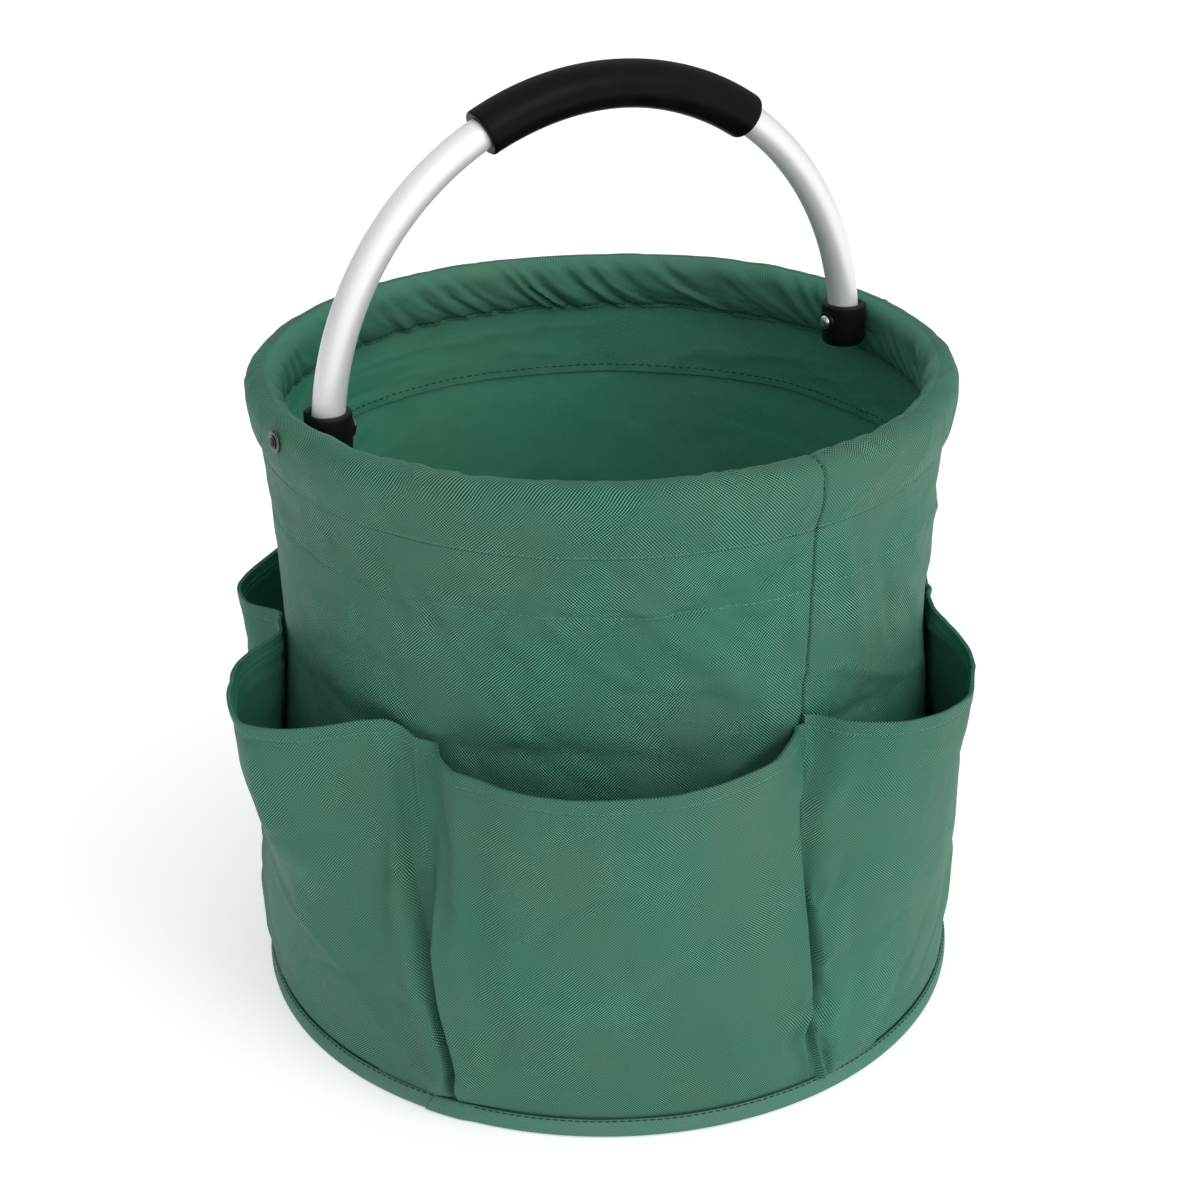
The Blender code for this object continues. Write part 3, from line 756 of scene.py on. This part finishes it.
# Each crease: share and height at both ends, width, depth, fold; all in thousandths.
POCKET_CREASES = {
    "pocket_front_left": (
        (985, 0, 955, 60, 4, -1.6, 400), (960, 120, 860, 150, 6, -1.2, 400),
        (985, 85, 900, 95, 3.5, 1, 600), (980, 60, 930, 30, 3.5, -1.2, 600),
        (12, 192, 70, 150, 4.8, -4, 250), (80, 150, 30, 100, 5, -1.6, 250),
        (120, 182, 90, 105, 7, 3, 300), (60, 125, 110, 112, 3, 1.6, 300),
        (190, 184, 150, 120, 7, -1.6, 500), (250, 178, 180, 60, 12, 1.4, 500),
        (300, 178, 620, 150, 12, 1.1, 500), (55, 95, 75, 20, 5, 1, 300),
        (600, 60, 800, 20, 12, -0.7, 500),
    ),
    "pocket_front_right": (
        (25, 6, 31, 36, 1.5, 3.6, 0), (44, 8, 50, 24, 1.2, -2.2, 0),
        (6, 47, 56, 33, 1.9, 3.4, 100), (60, 45, 70, 24, 3.5, 1.6, 300),
        (10, 63, 44, 50, 2.2, -2, 400), (4, 70, 60, 78, 2.8, 2, 300),
        (6, 96, 80, 116, 2.6, 2.4, 300), (90, 125, 40, 100, 5, -1.8, 400),
        (30, 140, 110, 165, 6, 1.3, 500), (105, 100, 130, 40, 6, -1.4, 400),
        (750, 20, 880, 90, 8, -1.2, 400),
    ),
    "pocket_left": (
        (860, 200, 890, 100, 7, 4, 300), (915, 170, 975, 85, 6, -4.5, 300),
        (975, 180, 955, 120, 5, 1.2, 300), (830, 185, 790, 120, 6, 1.3, 500),
        (960, 5, 930, 80, 4.5, 1.6, 500), (900, 150, 970, 85, 6, -2, 400),
        (860, 110, 930, 60, 6, 1.2, 500), (300, 150, 500, 90, 11, 1.1, 400),
        (480, 116, 680, 112, 20, 3.4, 600), (700, 60, 900, 30, 9, -1, 400),
    ),
}


def table_at(table, x):
    """Straight-line values from a table of (place, value)."""
    return np.interp(x, [p for p, _ in table], [q for _, q in table])


def junction_angle(number, z):
    """Angle of the line where two pockets meet, at a height."""
    low, top = JUNCTIONS[number]
    rise = np.clip((z - 0.03) / 0.158, 0.0, 1.0) ** (0.8 if number in (0, 6) else 1.7)
    angle = low + (top - low) * rise
    if number in (0, 6):
        angle = angle + 1.3 * bump(z, 0.034, 0.022)
    return smooth_table(FOLD_LINE, z) if number == 1 else angle


def rounded_plan(table):
    """A pocket's outline seen from above, with its corners softened."""
    fine = np.linspace(0.0, 1.0, 201)
    values = table_at(table, fine)
    kernel = np.hanning(21)
    kernel /= kernel.sum()
    padded = np.concatenate([np.zeros(10), values, np.zeros(10)])
    values = np.convolve(padded, kernel, mode="valid")
    return list(zip(fine, values / values.max()))


def pocket_points(spec, plan, s, z):
    """Angles and radii of the outside of a pocket at shares across it and heights."""
    left = junction_angle(spec["junction"], z)
    right = junction_angle(spec["junction"] + 1, z)
    psi = left + (right - left) * s
    arc = (right - left) * math.pi / 180.0 * 0.166
    from_left = s * arc
    from_right = (1.0 - s) * arc
    rise = np.clip((z - 0.03) / 0.158, 0.0, 1.0)
    full = smooth_table(BULGE, z) * (1.0 + (spec["size"] - 1.0) * np.minimum(1.0, rise * 1.3))
    opened = smooth_step(z, 0.004, 0.14)
    share = table_at(plan, s) * opened + (1.0 - opened)
    stand = full * share
    for kind, away in ((spec["left"], from_left), (spec["right"], from_right)):
        if kind is PROUD:
            edge = (0.01, 0.035, 0.16, 0.184, 0.0058, 0.016)
        elif kind is PLEAT:
            edge = (0.003, 0.017, 0.09, 0.13, 0.0062, 0.034)
        elif kind is GULLY or (kind is LIP and spec["junction"] == 0):
            edge = (0.004, 0.024, 0.11, 0.172, 0.0094, 0.02)
        else:
            edge = (0.004, 0.024, 0.075, 0.13, 0.0052, 0.018)
        band = smooth_step(z, *edge[:2]) * (1.0 - smooth_step(z, *edge[2:4]))
        stand = np.hypot(stand, edge[4] * band * np.exp(-(away / edge[5]) ** 2))
    close_left = 1.0 - np.exp(-(from_left / table_at(spec["left"], z)) ** 2.5)
    power = 2.5 + 2.5 * (1.0 - smooth_step(z, 0.05, 0.066)) * (spec["right"] is GULLY)
    close_right = 1.0 - np.exp(-(from_right / table_at(spec["right"], z)) ** power)
    stand = stand * close_left * close_right
    seed = spec["seed"]
    x = s + seed * 0.137
    v = z / 0.195
    loose = 0.0012 * layered(0.21 * x, v, 14, 4, seed, 2)
    loose += 0.0009 * ridge(lattice(0.21 * x + 0.1 * v, v, 19, 4, seed + 3), 2.6)
    loose -= 0.0011 * ridge(lattice(0.21 * x - 0.12 * v, v, 17, 5, seed + 5), 2.8)
    near = np.exp(-(np.minimum(from_left, from_right) / 0.028) ** 2)
    loose += 0.0008 * near * lattice(0.21 * x, v, 50, 12, seed + 7)
    loose *= smooth_step(z, 0.008, 0.035)
    width = 0.172
    listed = POCKET_CREASES.get(spec["name"], POCKET_CREASES["pocket_left"])
    for row in listed:
        s0, z0, s1, z1, wide, depth, fold = (number / 1000.0 for number in row)
        loose += crease(s * width, z, s0 * width, z0, s1 * width, z1, wide, depth, fold)
    ends = smooth_step(from_left, 0.0, 0.0025) * smooth_step(from_right, 0.0, 0.003)
    radius = wall_radius(z) + 0.0016 + CLOTH + np.maximum(stand + loose * ends, -0.0004)
    radius = np.where(z < 0.0095, np.minimum(radius, 0.1722), radius)
    return psi, radius


def make_pocket(spec):
    """One pocket with its folded top hem and the stitching of the hem."""
    name = spec["name"]
    seed = spec["seed"]
    ends = np.concatenate([np.linspace(0, 0.036, 19), np.linspace(0.04, 0.1, 14)])
    s = np.concatenate([ends, np.linspace(0.11, 0.89, 60), 1.0 - ends[::-1]])
    plan = rounded_plan(spec["plan"])
    below = np.concatenate([np.linspace(0.0, 0.1, 11), np.linspace(0.12, 1.0, 84)[:-1]])
    above = np.concatenate([np.arange(0.0112, 0.0005, -0.0006), [0.0004, 0.0002, 0.0]])
    top = smooth_table(spec["top"], s)
    top = top + 0.0009 * lattice(0.3 * s + seed, 0 * s, 12, 1, seed + 9) * np.sin(np.pi * s)
    span = top - above[0] - POCKET_LOW_Z
    low_part = POCKET_LOW_Z + below[:, None] * span[None, :]
    height = np.concatenate([low_part, top[None, :] - above[:, None]])
    from_top = top[None, :] - height
    ss = np.broadcast_to(s, height.shape)
    psi, radius = pocket_points(spec, plan, ss, height)
    doubled = 1.0 - smooth_step(from_top, HEM_DEEP + 0.0002, HEM_DEEP + 0.001)
    radius = radius + 0.00042 * doubled - 0.0004 * bump(from_top, HEM_DEEP - 0.0009, 0.0007)
    radius = radius - 0.0003 * bump(from_top, 0.0, 0.0006)
    x = 0.2 * ss + seed
    pucker = lattice(x, 0 * x, 100, 1, seed + 31) + 0.5 * lattice(x, 0 * x, 190, 1, seed + 33)
    radius = radius + 0.0003 * pucker * bump(from_top, HEM_DEEP, 0.005)
    points = around(radius, psi, height)
    row, column = grid_lengths(points, False)
    uv = cloth_uv(points, False)
    piece = cloth_piece(name + "_cloth", points, CLOTH, False, uv, pocket_look, back=lining_look_painted_lighter)
    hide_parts(name)
    normals = grid_normals(points, False)
    sewn = len(below) + int(np.argmin(np.abs(above - (HEM_DEEP - 0.0009))))
    line = sewn_line(name + "_hem_stitching", points[sewn, 3:-3], normals[sewn, 3:-3],
                     light_thread, pitch=0.0034, length=0.0029, radius=0.00022, proud=0.00004,
                     wander=0.0001, seed=seed)
    part = (slice(len(below), -1), slice(2, -2))
    inner = points - normals * (CLOTH - 1e-4)
    under = cloth_piece(name + "_hem_inside", inner[part], 0.0006, False, uv[part], lining_look_painted_lighter,
                        inner=(inner - normals * 0.0006)[part])
    return [piece, line, under], (row, column)


# ------------------------------------------------------------------ rim
def hem_section(count):
    """Points of the hem's cross-section with their normals, outside to inside."""
    outline = pairs(160.1, 283, 160.6, 284.8, 161.8, 289, 163.3, 294, 164.4, 298.5, 164.8, 302)
    for k in range(25):
        turn = math.radians(-4.0 + 186.0 * k / 24)
        outline.append((HOOP_R + HEM_R * math.cos(turn), HOOP_Z + HEM_R * math.sin(turn)))
    outline += pairs(149.6, 302, 150, 297, 151.1, 292, 153, 287.2, 155.2, 283.3, 156, 281.5)
    line = np.array(outline)
    run = np.concatenate([[0.0], np.cumsum(np.linalg.norm(np.diff(line, axis=0), axis=1))])
    at = np.linspace(0.0, run[-1], count)
    r = np.interp(at, run, line[:, 0])
    z = np.interp(at, run, line[:, 1])
    dr = np.gradient(r)
    dz = np.gradient(z)
    size = np.hypot(dr, dz)
    return r, z, dz / size, -dr / size, at


def folds(phase, softness=1.4):
    """A row of rounded folds with narrow valleys, from 0 to 1."""
    share = 1.0 - np.abs(2.0 * np.mod(phase, 1.0) - 1.0)
    return np.sin(0.5 * np.pi * share) ** softness


def make_hem():
    """The gathered sleeve of cloth round the hoop, sewn below it inside and outside."""
    psi = fine_angles(760, (SEAM_PSI,), 3.0, 0.12)
    r, z, nr, nz, run = hem_section(72)
    a, k = np.meshgrid(psi, np.arange(len(r)))
    along = run[k]
    share = along / run[-1]
    x = a / 360.0
    inside = smooth_step(share, 0.5, 0.7)
    outside = 1.0 - smooth_step(share, 0.28, 0.44)
    top = np.clip(1.0 - inside - outside, 0.0, 1.0)
    lean = (share - 0.6) * 0.075
    shift = 1.3 * lattice(x, 0 * x, 21, 1, 205) + 0.5 * lattice(x + lean, 0 * x, 57, 1, 207)
    patch = np.clip(0.8 + 0.4 * lattice(x, 0 * x, 19, 1, 227), 0.45, 1.15)
    front = 0.5 + 0.5 * np.cos(np.radians(a - FRONT))
    fade = np.clip(0.8 + 0.6 * lattice(x + lean, share, 41, 4, 229), 0.2, 1.3)
    deep = (folds((x + lean) * 53.0 + shift) - 0.42) * fade
    fine = folds((x + 1.3 * lean) * 113.0 + 1.3 * shift, 1.2) - 0.45
    gathers = (1.7 * deep + 0.38 * fine) * patch
    relief = 0.00145 * gathers * inside
    lumps = (0.00075 * layered(x + 0.5 * lean, share, 76, 4, 233, 2) + 0.0005 * gathers
             + 0.0007 * layered(x, share, 33, 3, 235, 2))
    relief += top * lumps * (0.3 + 1.0 * front)
    relief += outside * (0.00065 * layered(x - 0.3 * lean, share, 34, 4, 239, 2)
                         + 0.00055 * ridge(lattice(x - 0.35 * lean, share, 52, 3, 243), 2.6))
    relief += 0.0007 * lattice(x, share, 9, 2, 251) * smooth_step(share, 0.0, 0.12)
    at_line = 1.0 - smooth_step(share, 0.0, 0.11)
    relief = relief * (1.0 - at_line) + join_relief(a) * at_line
    relief -= 0.0007 * bump(share, 0.965, 0.012) * inside
    relief += (1.0 - smooth_step(share, 0.52, 0.6)) * seam_relief(a, z[k], 0.165)
    for side in (-90.0, 90.0):
        far = turned_to(a, side)
        near = np.exp(-((far / 8.0) ** 4)) * bump(z[k], PIVOT_Z, 0.013)
        relief -= 0.0004 * near
        relief *= 1.0 - 0.85 * near
        relief -= 0.0012 * near * inside
    least = -0.00045 - 0.004 * (1.0 - smooth_step(z[k], 0.299, 0.302))
    relief = np.where(relief < least, least + 0.1 * (relief - least), relief)
    low = np.clip((0.3015 - z[k]) / (0.3015 - LINE_1_Z), 0.0, 1.1)
    radius = r[k] + nr[k] * relief
    height = z[k] + nz[k] * relief + (line_1(a) - LINE_1_Z) * low
    points = around(radius, a, height)
    normals = grid_normals(points, True)
    hem = cloth_piece("rim_hem_cloth", points, HEM_CLOTH, True, cloth_uv(points, True),
                      cloth_look)
    # These faces, the inside half of the sleeve, take the same cloth painted lighter: painted
    # light inside the mouth.
    inside_sheets_painted_lighter = np.arange(2 * (len(r) - 1) * len(psi)) // (2 * len(psi)) >= int(0.5 * len(r))
    second_look(hem, hem_inside_look_painted_lighter, inside_sheets_painted_lighter)
    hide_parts("rim_sleeve")
    pieces = [hem]
    halves = (("rim_outer_stitching", 1, light_thread, 0.00018, 0.00022),
              ("rim_inner_stitching", len(r) - 3, dark_thread, 0.00014, 0.00027))
    for name, i, look, wander, size in halves:
        pieces.append(sewn_line(name, points[i], normals[i], look, pitch=0.0038, length=0.0031,
                                radius=size, proud=0.00006, wander=wander, seed=8 + i,
                                closed=True))
    rows = np.flatnonzero(share[:, 0] <= 0.56)
    pieces.append(seam_stitches("rim_seam_stitching", points, psi, z, rows, 9))
    return pieces, grid_lengths(points, True)


# ------------------------------------------------------------------ base
def band_uv(psi, heights):
    """Lengths round and up a band, for its weave."""
    return np.stack(np.meshgrid(psi * math.pi / 180.0 * TAPE_R, heights), -1)


def make_base():
    """Tape round the bottom edge, bottom panel and floor lining."""
    pieces = []
    psi = fine_angles(360, ())
    outline = pairs(172.55, 0.6, 173, 0.1, 174.2, 0.2, 174.9, 0.8, 175.15, 2.2, 175.2, 4, 175, 6,
                    174.65, 7.6, 174.25, 8.6, 173.7, 9.2, 173.2, 9.1, 172.75, 8.6)
    line = np.array(outline)
    a, k = np.meshgrid(psi, np.arange(len(line)))
    x = a / 360.0
    zz = line[k, 1]
    relief = 0.00022 * layered(x, zz / 0.01, 40, 2, 311, 2) * smooth_step(zz, 0.001, 0.003)
    relief -= 0.00022 * bump(zz, 0.0078, 0.0009)
    relief += 0.00016 * lattice(x, 0 * x, 120, 1, 313) * bump(zz, 0.0078, 0.002)
    points = around(line[k, 0] + relief, a, zz)
    turns = np.concatenate([psi, [psi[0] + 360.0]])
    uv = band_uv(turns, np.linspace(0, 0.014, len(line)))
    normals = grid_normals(points, True)
    tape = cloth_piece("bottom_tape_cloth", points, 0.0006, True, uv, tape_look)
    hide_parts("base_binding")
    pieces.append(tape)
    i = int(np.argmin(np.abs(line[:, 1] - 0.0086)))
    pieces.append(sewn_line("bottom_tape_stitching", points[i], normals[i], dark_thread,
                            pitch=0.0034, length=0.0028, radius=0.00027, proud=0.0001, seed=11,
                            closed=True))
    lap_psi = np.linspace(LAP_START, LAP_END, 22)
    b, m = np.meshgrid(lap_psi, np.arange(2, 10))
    start = LAP_START + (line[m, 1] - 0.001) / 0.008 * 1.6
    b = start + (b - LAP_START) * (LAP_END - start) / (LAP_END - LAP_START)
    rise = 0.0007 * (1.0 - smooth_step(b, -54.5, LAP_END)) + 0.00012
    points = around(line[m, 0] + rise, b, line[m, 1])
    uv = band_uv(lap_psi, np.linspace(0.001, 0.009, 8))
    lap = cloth_piece("bottom_tape_lap", points, 0.0007, False, uv, tape_look)
    pieces.append(lap)
    n = grid_normals(points, False)
    pieces.append(sewn_line("bottom_tape_lap_stitching", points[:, 1], n[:, 1], light_thread,
                            pitch=0.0028, length=0.0024, radius=0.00025, proud=0.0001, seed=12))
    pieces.append(flat_disc("bottom_panel_cloth", PANEL_R, 0.00005, 0.0016, lining_look_painted_lighter, 321, 0.0))
    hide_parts("base_panel")
    pieces.append(flat_disc("floor_lining_cloth", LINING_R, 0.0054, 0.0009, lining_look_painted_lighter, 331,
                            0.0006))
    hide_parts("floor_lining")
    return pieces


def flat_disc(name, radius, z, thick, look, seed, relief):
    """A round sheet of cloth lying flat."""
    rings, steps = 40, 160
    turn = np.linspace(0, 2 * np.pi, steps, endpoint=False)[None, :]
    r = radius * (np.arange(1, rings + 1) / rings)[:, None]
    x, y = r * np.sin(turn), -r * np.cos(turn)
    lift = relief * lattice(x * 2.2 + 0.5, y * 2.2 + 0.5, 7, 7, seed)
    lift = np.abs(lift * (1.0 - smooth_step(r / radius, 0.9, 1.0)))
    verts = [np.stack([x, y, level + lift], -1).reshape(-1, 3) for level in (z, z + thick)]
    verts = np.concatenate(verts + [np.array([[0, 0, z], [0, 0, z + thick]])])
    half = rings * steps
    low, high = 2 * half, 2 * half + 1
    faces = []
    for j in range(steps):
        k = (j + 1) % steps
        faces.append((low, k, j))
        faces.append((high, half + j, half + k))
        for i in range(rings - 1):
            a, b, c, d = i * steps + j, i * steps + k, (i + 1) * steps + k, (i + 1) * steps + j
            faces.append((a, b, c, d))
            faces.append((half + a, half + d, half + c, half + b))
        a, b = (rings - 1) * steps + j, (rings - 1) * steps + k
        faces.append((a, b, half + b, half + a))
    loops = [verts[v, :2] for face in faces for v in face]
    return fix_normals(build(name, verts, faces, look, loops))


# ------------------------------------------------------------------ handle
def bow(angle):
    """Centre of the bow and its outward spoke; angle 0 is the top, positive towards +X."""
    turn = math.radians(angle)
    spoke = np.array([math.sin(turn), 0.0, math.cos(turn)])
    return np.array([0.0, 0.0, BOW_Z]) + BOW_R * spoke, spoke


def bow_grid(angles, radii, sides, legs=False):
    """Round sections along the bow, as rows of points, with straight legs or without."""
    rows = []
    for angle, radius in zip(angles, radii):
        centre, spoke = bow(angle)
        rows.append(ring_points(centre, spoke, radius, sides))
    if legs:
        first, last = (ring_points(np.array([side * BOW_R, 0, TUBE_END_Z]),
                                   np.array([side, 0, 0]), radius, sides)
                       for side, radius in ((-1.0, radii[0]), (1.0, radii[-1])))
        rows = [first] + rows + [last]
    return np.array(rows)


def ring_points(centre, spoke, radius, sides):
    """A circle of points in the plane of the spoke and Y."""
    turn = np.linspace(0, 2 * np.pi, sides, endpoint=False)[:, None]
    return centre + radius * (spoke * np.cos(turn) + np.array([0, 1.0, 0]) * np.sin(turn))


def pipe(name, outer, inner, look, lengths):
    """A hollow bent tube, open at both ends."""
    round_it = np.arange(outer.shape[1] + 1) / outer.shape[1] * 0.047
    uv = np.stack(np.meshgrid(lengths, round_it, indexing="ij"), -1)
    return fix_normals(cloth_piece(name, outer, 0.0, True, uv, look, inner=inner))


def make_handle():
    """Bent tube, foam grip and the two pivot sockets."""
    pieces = []
    angles = np.linspace(-90, 90, 145)
    outer = bow_grid(angles, [TUBE_R] * len(angles), 40, True)
    inner = bow_grid(angles, [TUBE_BORE_R] * len(angles), 40, True)
    lengths = np.concatenate([[0.0], 0.0025 + np.radians(angles + 90) * BOW_R, [0.4455]])
    tube = pipe("bow_tube", outer, inner, tube_look, lengths)
    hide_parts("handle_tube")
    pieces.append(tube)
    body = np.linspace(-24.4, 33.6, 60)
    ends_low = [-25.2, -25.15, -25.0, -24.75]
    ends_high = [33.95, 34.2, 34.35, 34.4]
    low_r = [0.0098, 0.0103, 0.0107, 0.0109]
    spans = np.array(ends_low + list(body) + ends_high)
    swell = 0.00012 * np.sin(np.linspace(0, 9.0, 60)) + GRIP_R
    radii = low_r + list(swell) + low_r[::-1]
    outer = bow_grid(spans, radii, 48)
    inner = bow_grid(spans, [GRIP_BORE_R] * len(spans), 48)
    grip = pipe("foam_grip", outer, inner, foam_look, np.radians(spans + 90) * BOW_R)
    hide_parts("handle_grip")
    pieces.append(grip)
    for word, side in (("left", -1.0), ("right", 1.0)):
        pieces += make_socket(word, side)
    return pieces


def pivot_axis(side):
    """Places round the pivot's axis, for turned shapes."""
    return lambda along, u, v: (side * along, u, PIVOT_Z + v)


def make_socket(word, side):
    """A pivot socket: a slightly tapered cap with a lip round the tube and a flat back."""
    profile = pairs(295.1, 0, 295.1, 8.6, 295.2, 9.2, 295.7, 9.8, 296.4, 10.2, 297.5, 10.45,
                    302, 10.7, 310, 10.9, 314.2, 11, 315.1, 10.85, 315.7, 10.5, 315.9, 10,
                    315.9, 9, 315.7, 8.5, 315, 8.25, 312, 8.1, 304, 7.95, 297.5, 7.8, 297.5, 0)

    def place(along, u, v):
        lean = (along - 0.3) ** 2 / (2 * BOW_R)
        inner = math.hypot(u, v) < 0.0083
        x = side * (BOW_R - (lean if inner else 0.0)) + u
        x = min(x, 0.1484) if side > 0 else max(x, -0.1484)
        return (x, v, along)

    socket = turned("pivot_socket_" + word, profile, 72, place, socket_look)
    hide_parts("socket_" + word)
    boss = pairs(129.25, 0, 129.25, 4, 129, 4.6, 129.3, 5, 131, 5.2, 131, 0)
    ring = turned("socket_boss_" + word, boss, 40, pivot_axis(side), socket_look)
    return [socket, ring]


def make_rivet(word, side):
    """A pivot rivet with its domed head inside and its rolled eyelet outside."""
    across = pivot_axis(side)
    head = pairs(126.95, 0, 127, 0.8, 127.12, 1.6, 127.4, 2.4, 127.85, 3, 128.4, 3.4, 128.8, 3.5,
                 128.9, 3.3, 128.9, 2.5, 165.6, 2.5, 166.4, 2.7, 166.9, 3, 167, 2.7, 166.8, 2.2,
                 166, 1.9, 162.5, 1.8, 162.5, 0)
    rivet = turned("rivet_" + word, head, 40, across, rivet_look)
    # The rivet's outer end and its hollow take the dark eyelet plating: the eyelet's own dark
    # colour, with painted shade down the hollow.
    outer_end_dark_and_shaded = [int(abs(face.center.x) > 0.15) for face in rivet.data.polygons]
    second_look(rivet, eyelet_look, outer_end_dark_and_shaded)
    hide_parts("pivot_rivet_" + word)
    steps, sides = 48, 14
    turn, roll = np.meshgrid(np.arange(steps) * 2 * math.pi / steps,
                             np.arange(sides) * 2 * math.pi / sides, indexing="ij")
    radius = 0.00405 + 0.00118 * np.cos(roll)
    along = 0.16585 + 0.00062 * np.sin(roll)
    verts = np.stack(across(along, radius * np.cos(turn), radius * np.sin(turn)), -1)
    faces = []
    for i in range(steps):
        for k in range(sides):
            here, there = i * sides, ((i + 1) % steps) * sides
            n = (k + 1) % sides
            faces.append((here + k, here + n, there + n, there + k))
    eyelet = fix_normals(build("eyelet_ring_" + word, verts, faces, eyelet_look))
    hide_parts("eyelet_" + word)
    return [rivet, eyelet]


# ------------------------------------------------------------------ put it together
def ride_all(pieces, body, folds=False):
    """Fix pieces to a body; soft ones get a mesh of their own."""
    for piece in pieces:
        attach(piece, body)
        if folds:
            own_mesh(piece)


def make_bag():
    """All pieces of the bag."""
    wall, wall_size = make_wall()
    ride_all(wall, "bag_base", True)
    facing, facing_size = make_facing()
    ride_all(facing, "bag_base", True)
    for spec in POCKETS:
        pocket, size = make_pocket(spec)
        ride_all(pocket, "bag_base", True)
    hem, hem_size = make_hem()
    ride_all(hem, "rim")
    base = make_base()
    ride_all(base[:4], "bag_base")
    ride_all(base[4:], "bag_base")
    handle = make_handle()
    ride_all(handle[:1], "handle")
    ride_all(handle[1:2], "handle")
    ride_all(handle[2:], "handle")
    for word, side in (("left", -1.0), ("right", 1.0)):
        ride_all(make_rivet(word, side), "rim")
    for node, look in (("rim_hoop", hoop_look), ("hoop_plug", hoop_look),
                       ("base_board", board_look)):
        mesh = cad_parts[node].data
        mesh.materials.clear()
        mesh.materials.append(look)


def area_light(name, place, size, power):
    """A soft rectangular light pointed at the bag."""
    data = bpy.data.lights.new(name, "AREA")
    data.shape = "RECTANGLE"
    data.size, data.size_y = size
    data.energy = power
    made = bpy.data.objects.new(name, data)
    made.location = place
    made.rotation_euler = (Vector((0.0, 0.0, 0.18)) - place).to_track_quat("-Z", "Y").to_euler()
    bpy.context.scene.collection.objects.link(made)


def studio_world(ahead):
    """White surroundings, brighter overhead and in front of the bag."""
    s = Nodes(bpy.data.worlds.new("studio"))
    way = s.node("ShaderNodeTexCoord", {}, "Generated")
    total = 0.12
    for aim, amount in ((ahead, 0.95), ([0.0, 0.0, 1.0], 0.72)):
        dot = s.node("ShaderNodeVectorMath", {0: way, 1: aim}, "Value", operation="DOT_PRODUCT")
        total = s.maths("MULTIPLY_ADD", s.maths("MAXIMUM", dot, 0.0), amount, total)
    return s.finish(Strength=total, Color=(1.0, 1.0, 1.0))


def make_stage():
    """Pale floor, soft studio light and the camera."""
    scene = bpy.context.scene
    verts = [(0.0, 0.0, FLOOR_Z)]
    steps = 96
    for i in range(steps):
        turn = 2 * math.pi * i / steps
        verts.append((FLOOR_RADIUS * math.cos(turn), FLOOR_RADIUS * math.sin(turn), FLOOR_Z))
    faces = [(0, 1 + i, 1 + (i + 1) % steps) for i in range(steps)]
    s = material("floor_paper")
    tone = s.blend(s.noise(s.place(), 3.0), (0.9, 0.9, 0.9), (0.93, 0.93, 0.93))
    paper = s.finish(Base_Color=tone, Roughness=0.9, Specular_IOR_Level=0.1,
                     Emission_Color=(1.0, 1.0, 1.0), Emission_Strength=0.34)
    floor = build("floor", np.array(verts), faces, paper)
    front = Matrix.Rotation(math.radians(FRONT), 3, "Z")
    scene.world = studio_world(list(front @ Vector((0.66, -0.75, 0.0))))
    for name, place, size, power in (
            ("key", (1.5, -1.4, 1.5), (1.4, 1.4), 13.0),
            ("front_fill", (-0.5, -2.4, 0.9), (2.2, 1.6), 1.5),
            ("top", (0.1, 0.4, 2.3), (2.0, 2.0), 2.0),
            ("back_rim", (-1.4, 1.6, 1.2), (1.2, 1.2), 2.0)):
        area_light(name, front @ Vector(place), size, power)
    pitch = math.radians(CAMERA_PITCH)
    yaw = math.radians(CAMERA_YAW)
    forward = Vector((math.sin(yaw) * math.cos(pitch), math.cos(yaw) * math.cos(pitch),
                      -math.sin(pitch)))
    data = bpy.data.cameras.new("camera")
    data.sensor_width = SENSOR_WIDTH
    data.lens = SENSOR_WIDTH * FOCAL_PIXELS / PHOTO_PIXELS
    data.clip_end = 60.0
    camera = bpy.data.objects.new("camera", data)
    camera.location = front @ Vector(CAMERA_PLACE)
    look = (front @ forward).to_track_quat("-Z", "Y").to_matrix()
    roll = Matrix.Rotation(math.radians(CAMERA_ROLL), 3, "Z")
    camera.rotation_euler = (look @ roll).to_euler()
    scene.collection.objects.link(camera)
    scene.camera = camera
    scene.view_settings.view_transform = "Standard"
    scene.view_settings.look = "None"


make_bag()
make_stage()
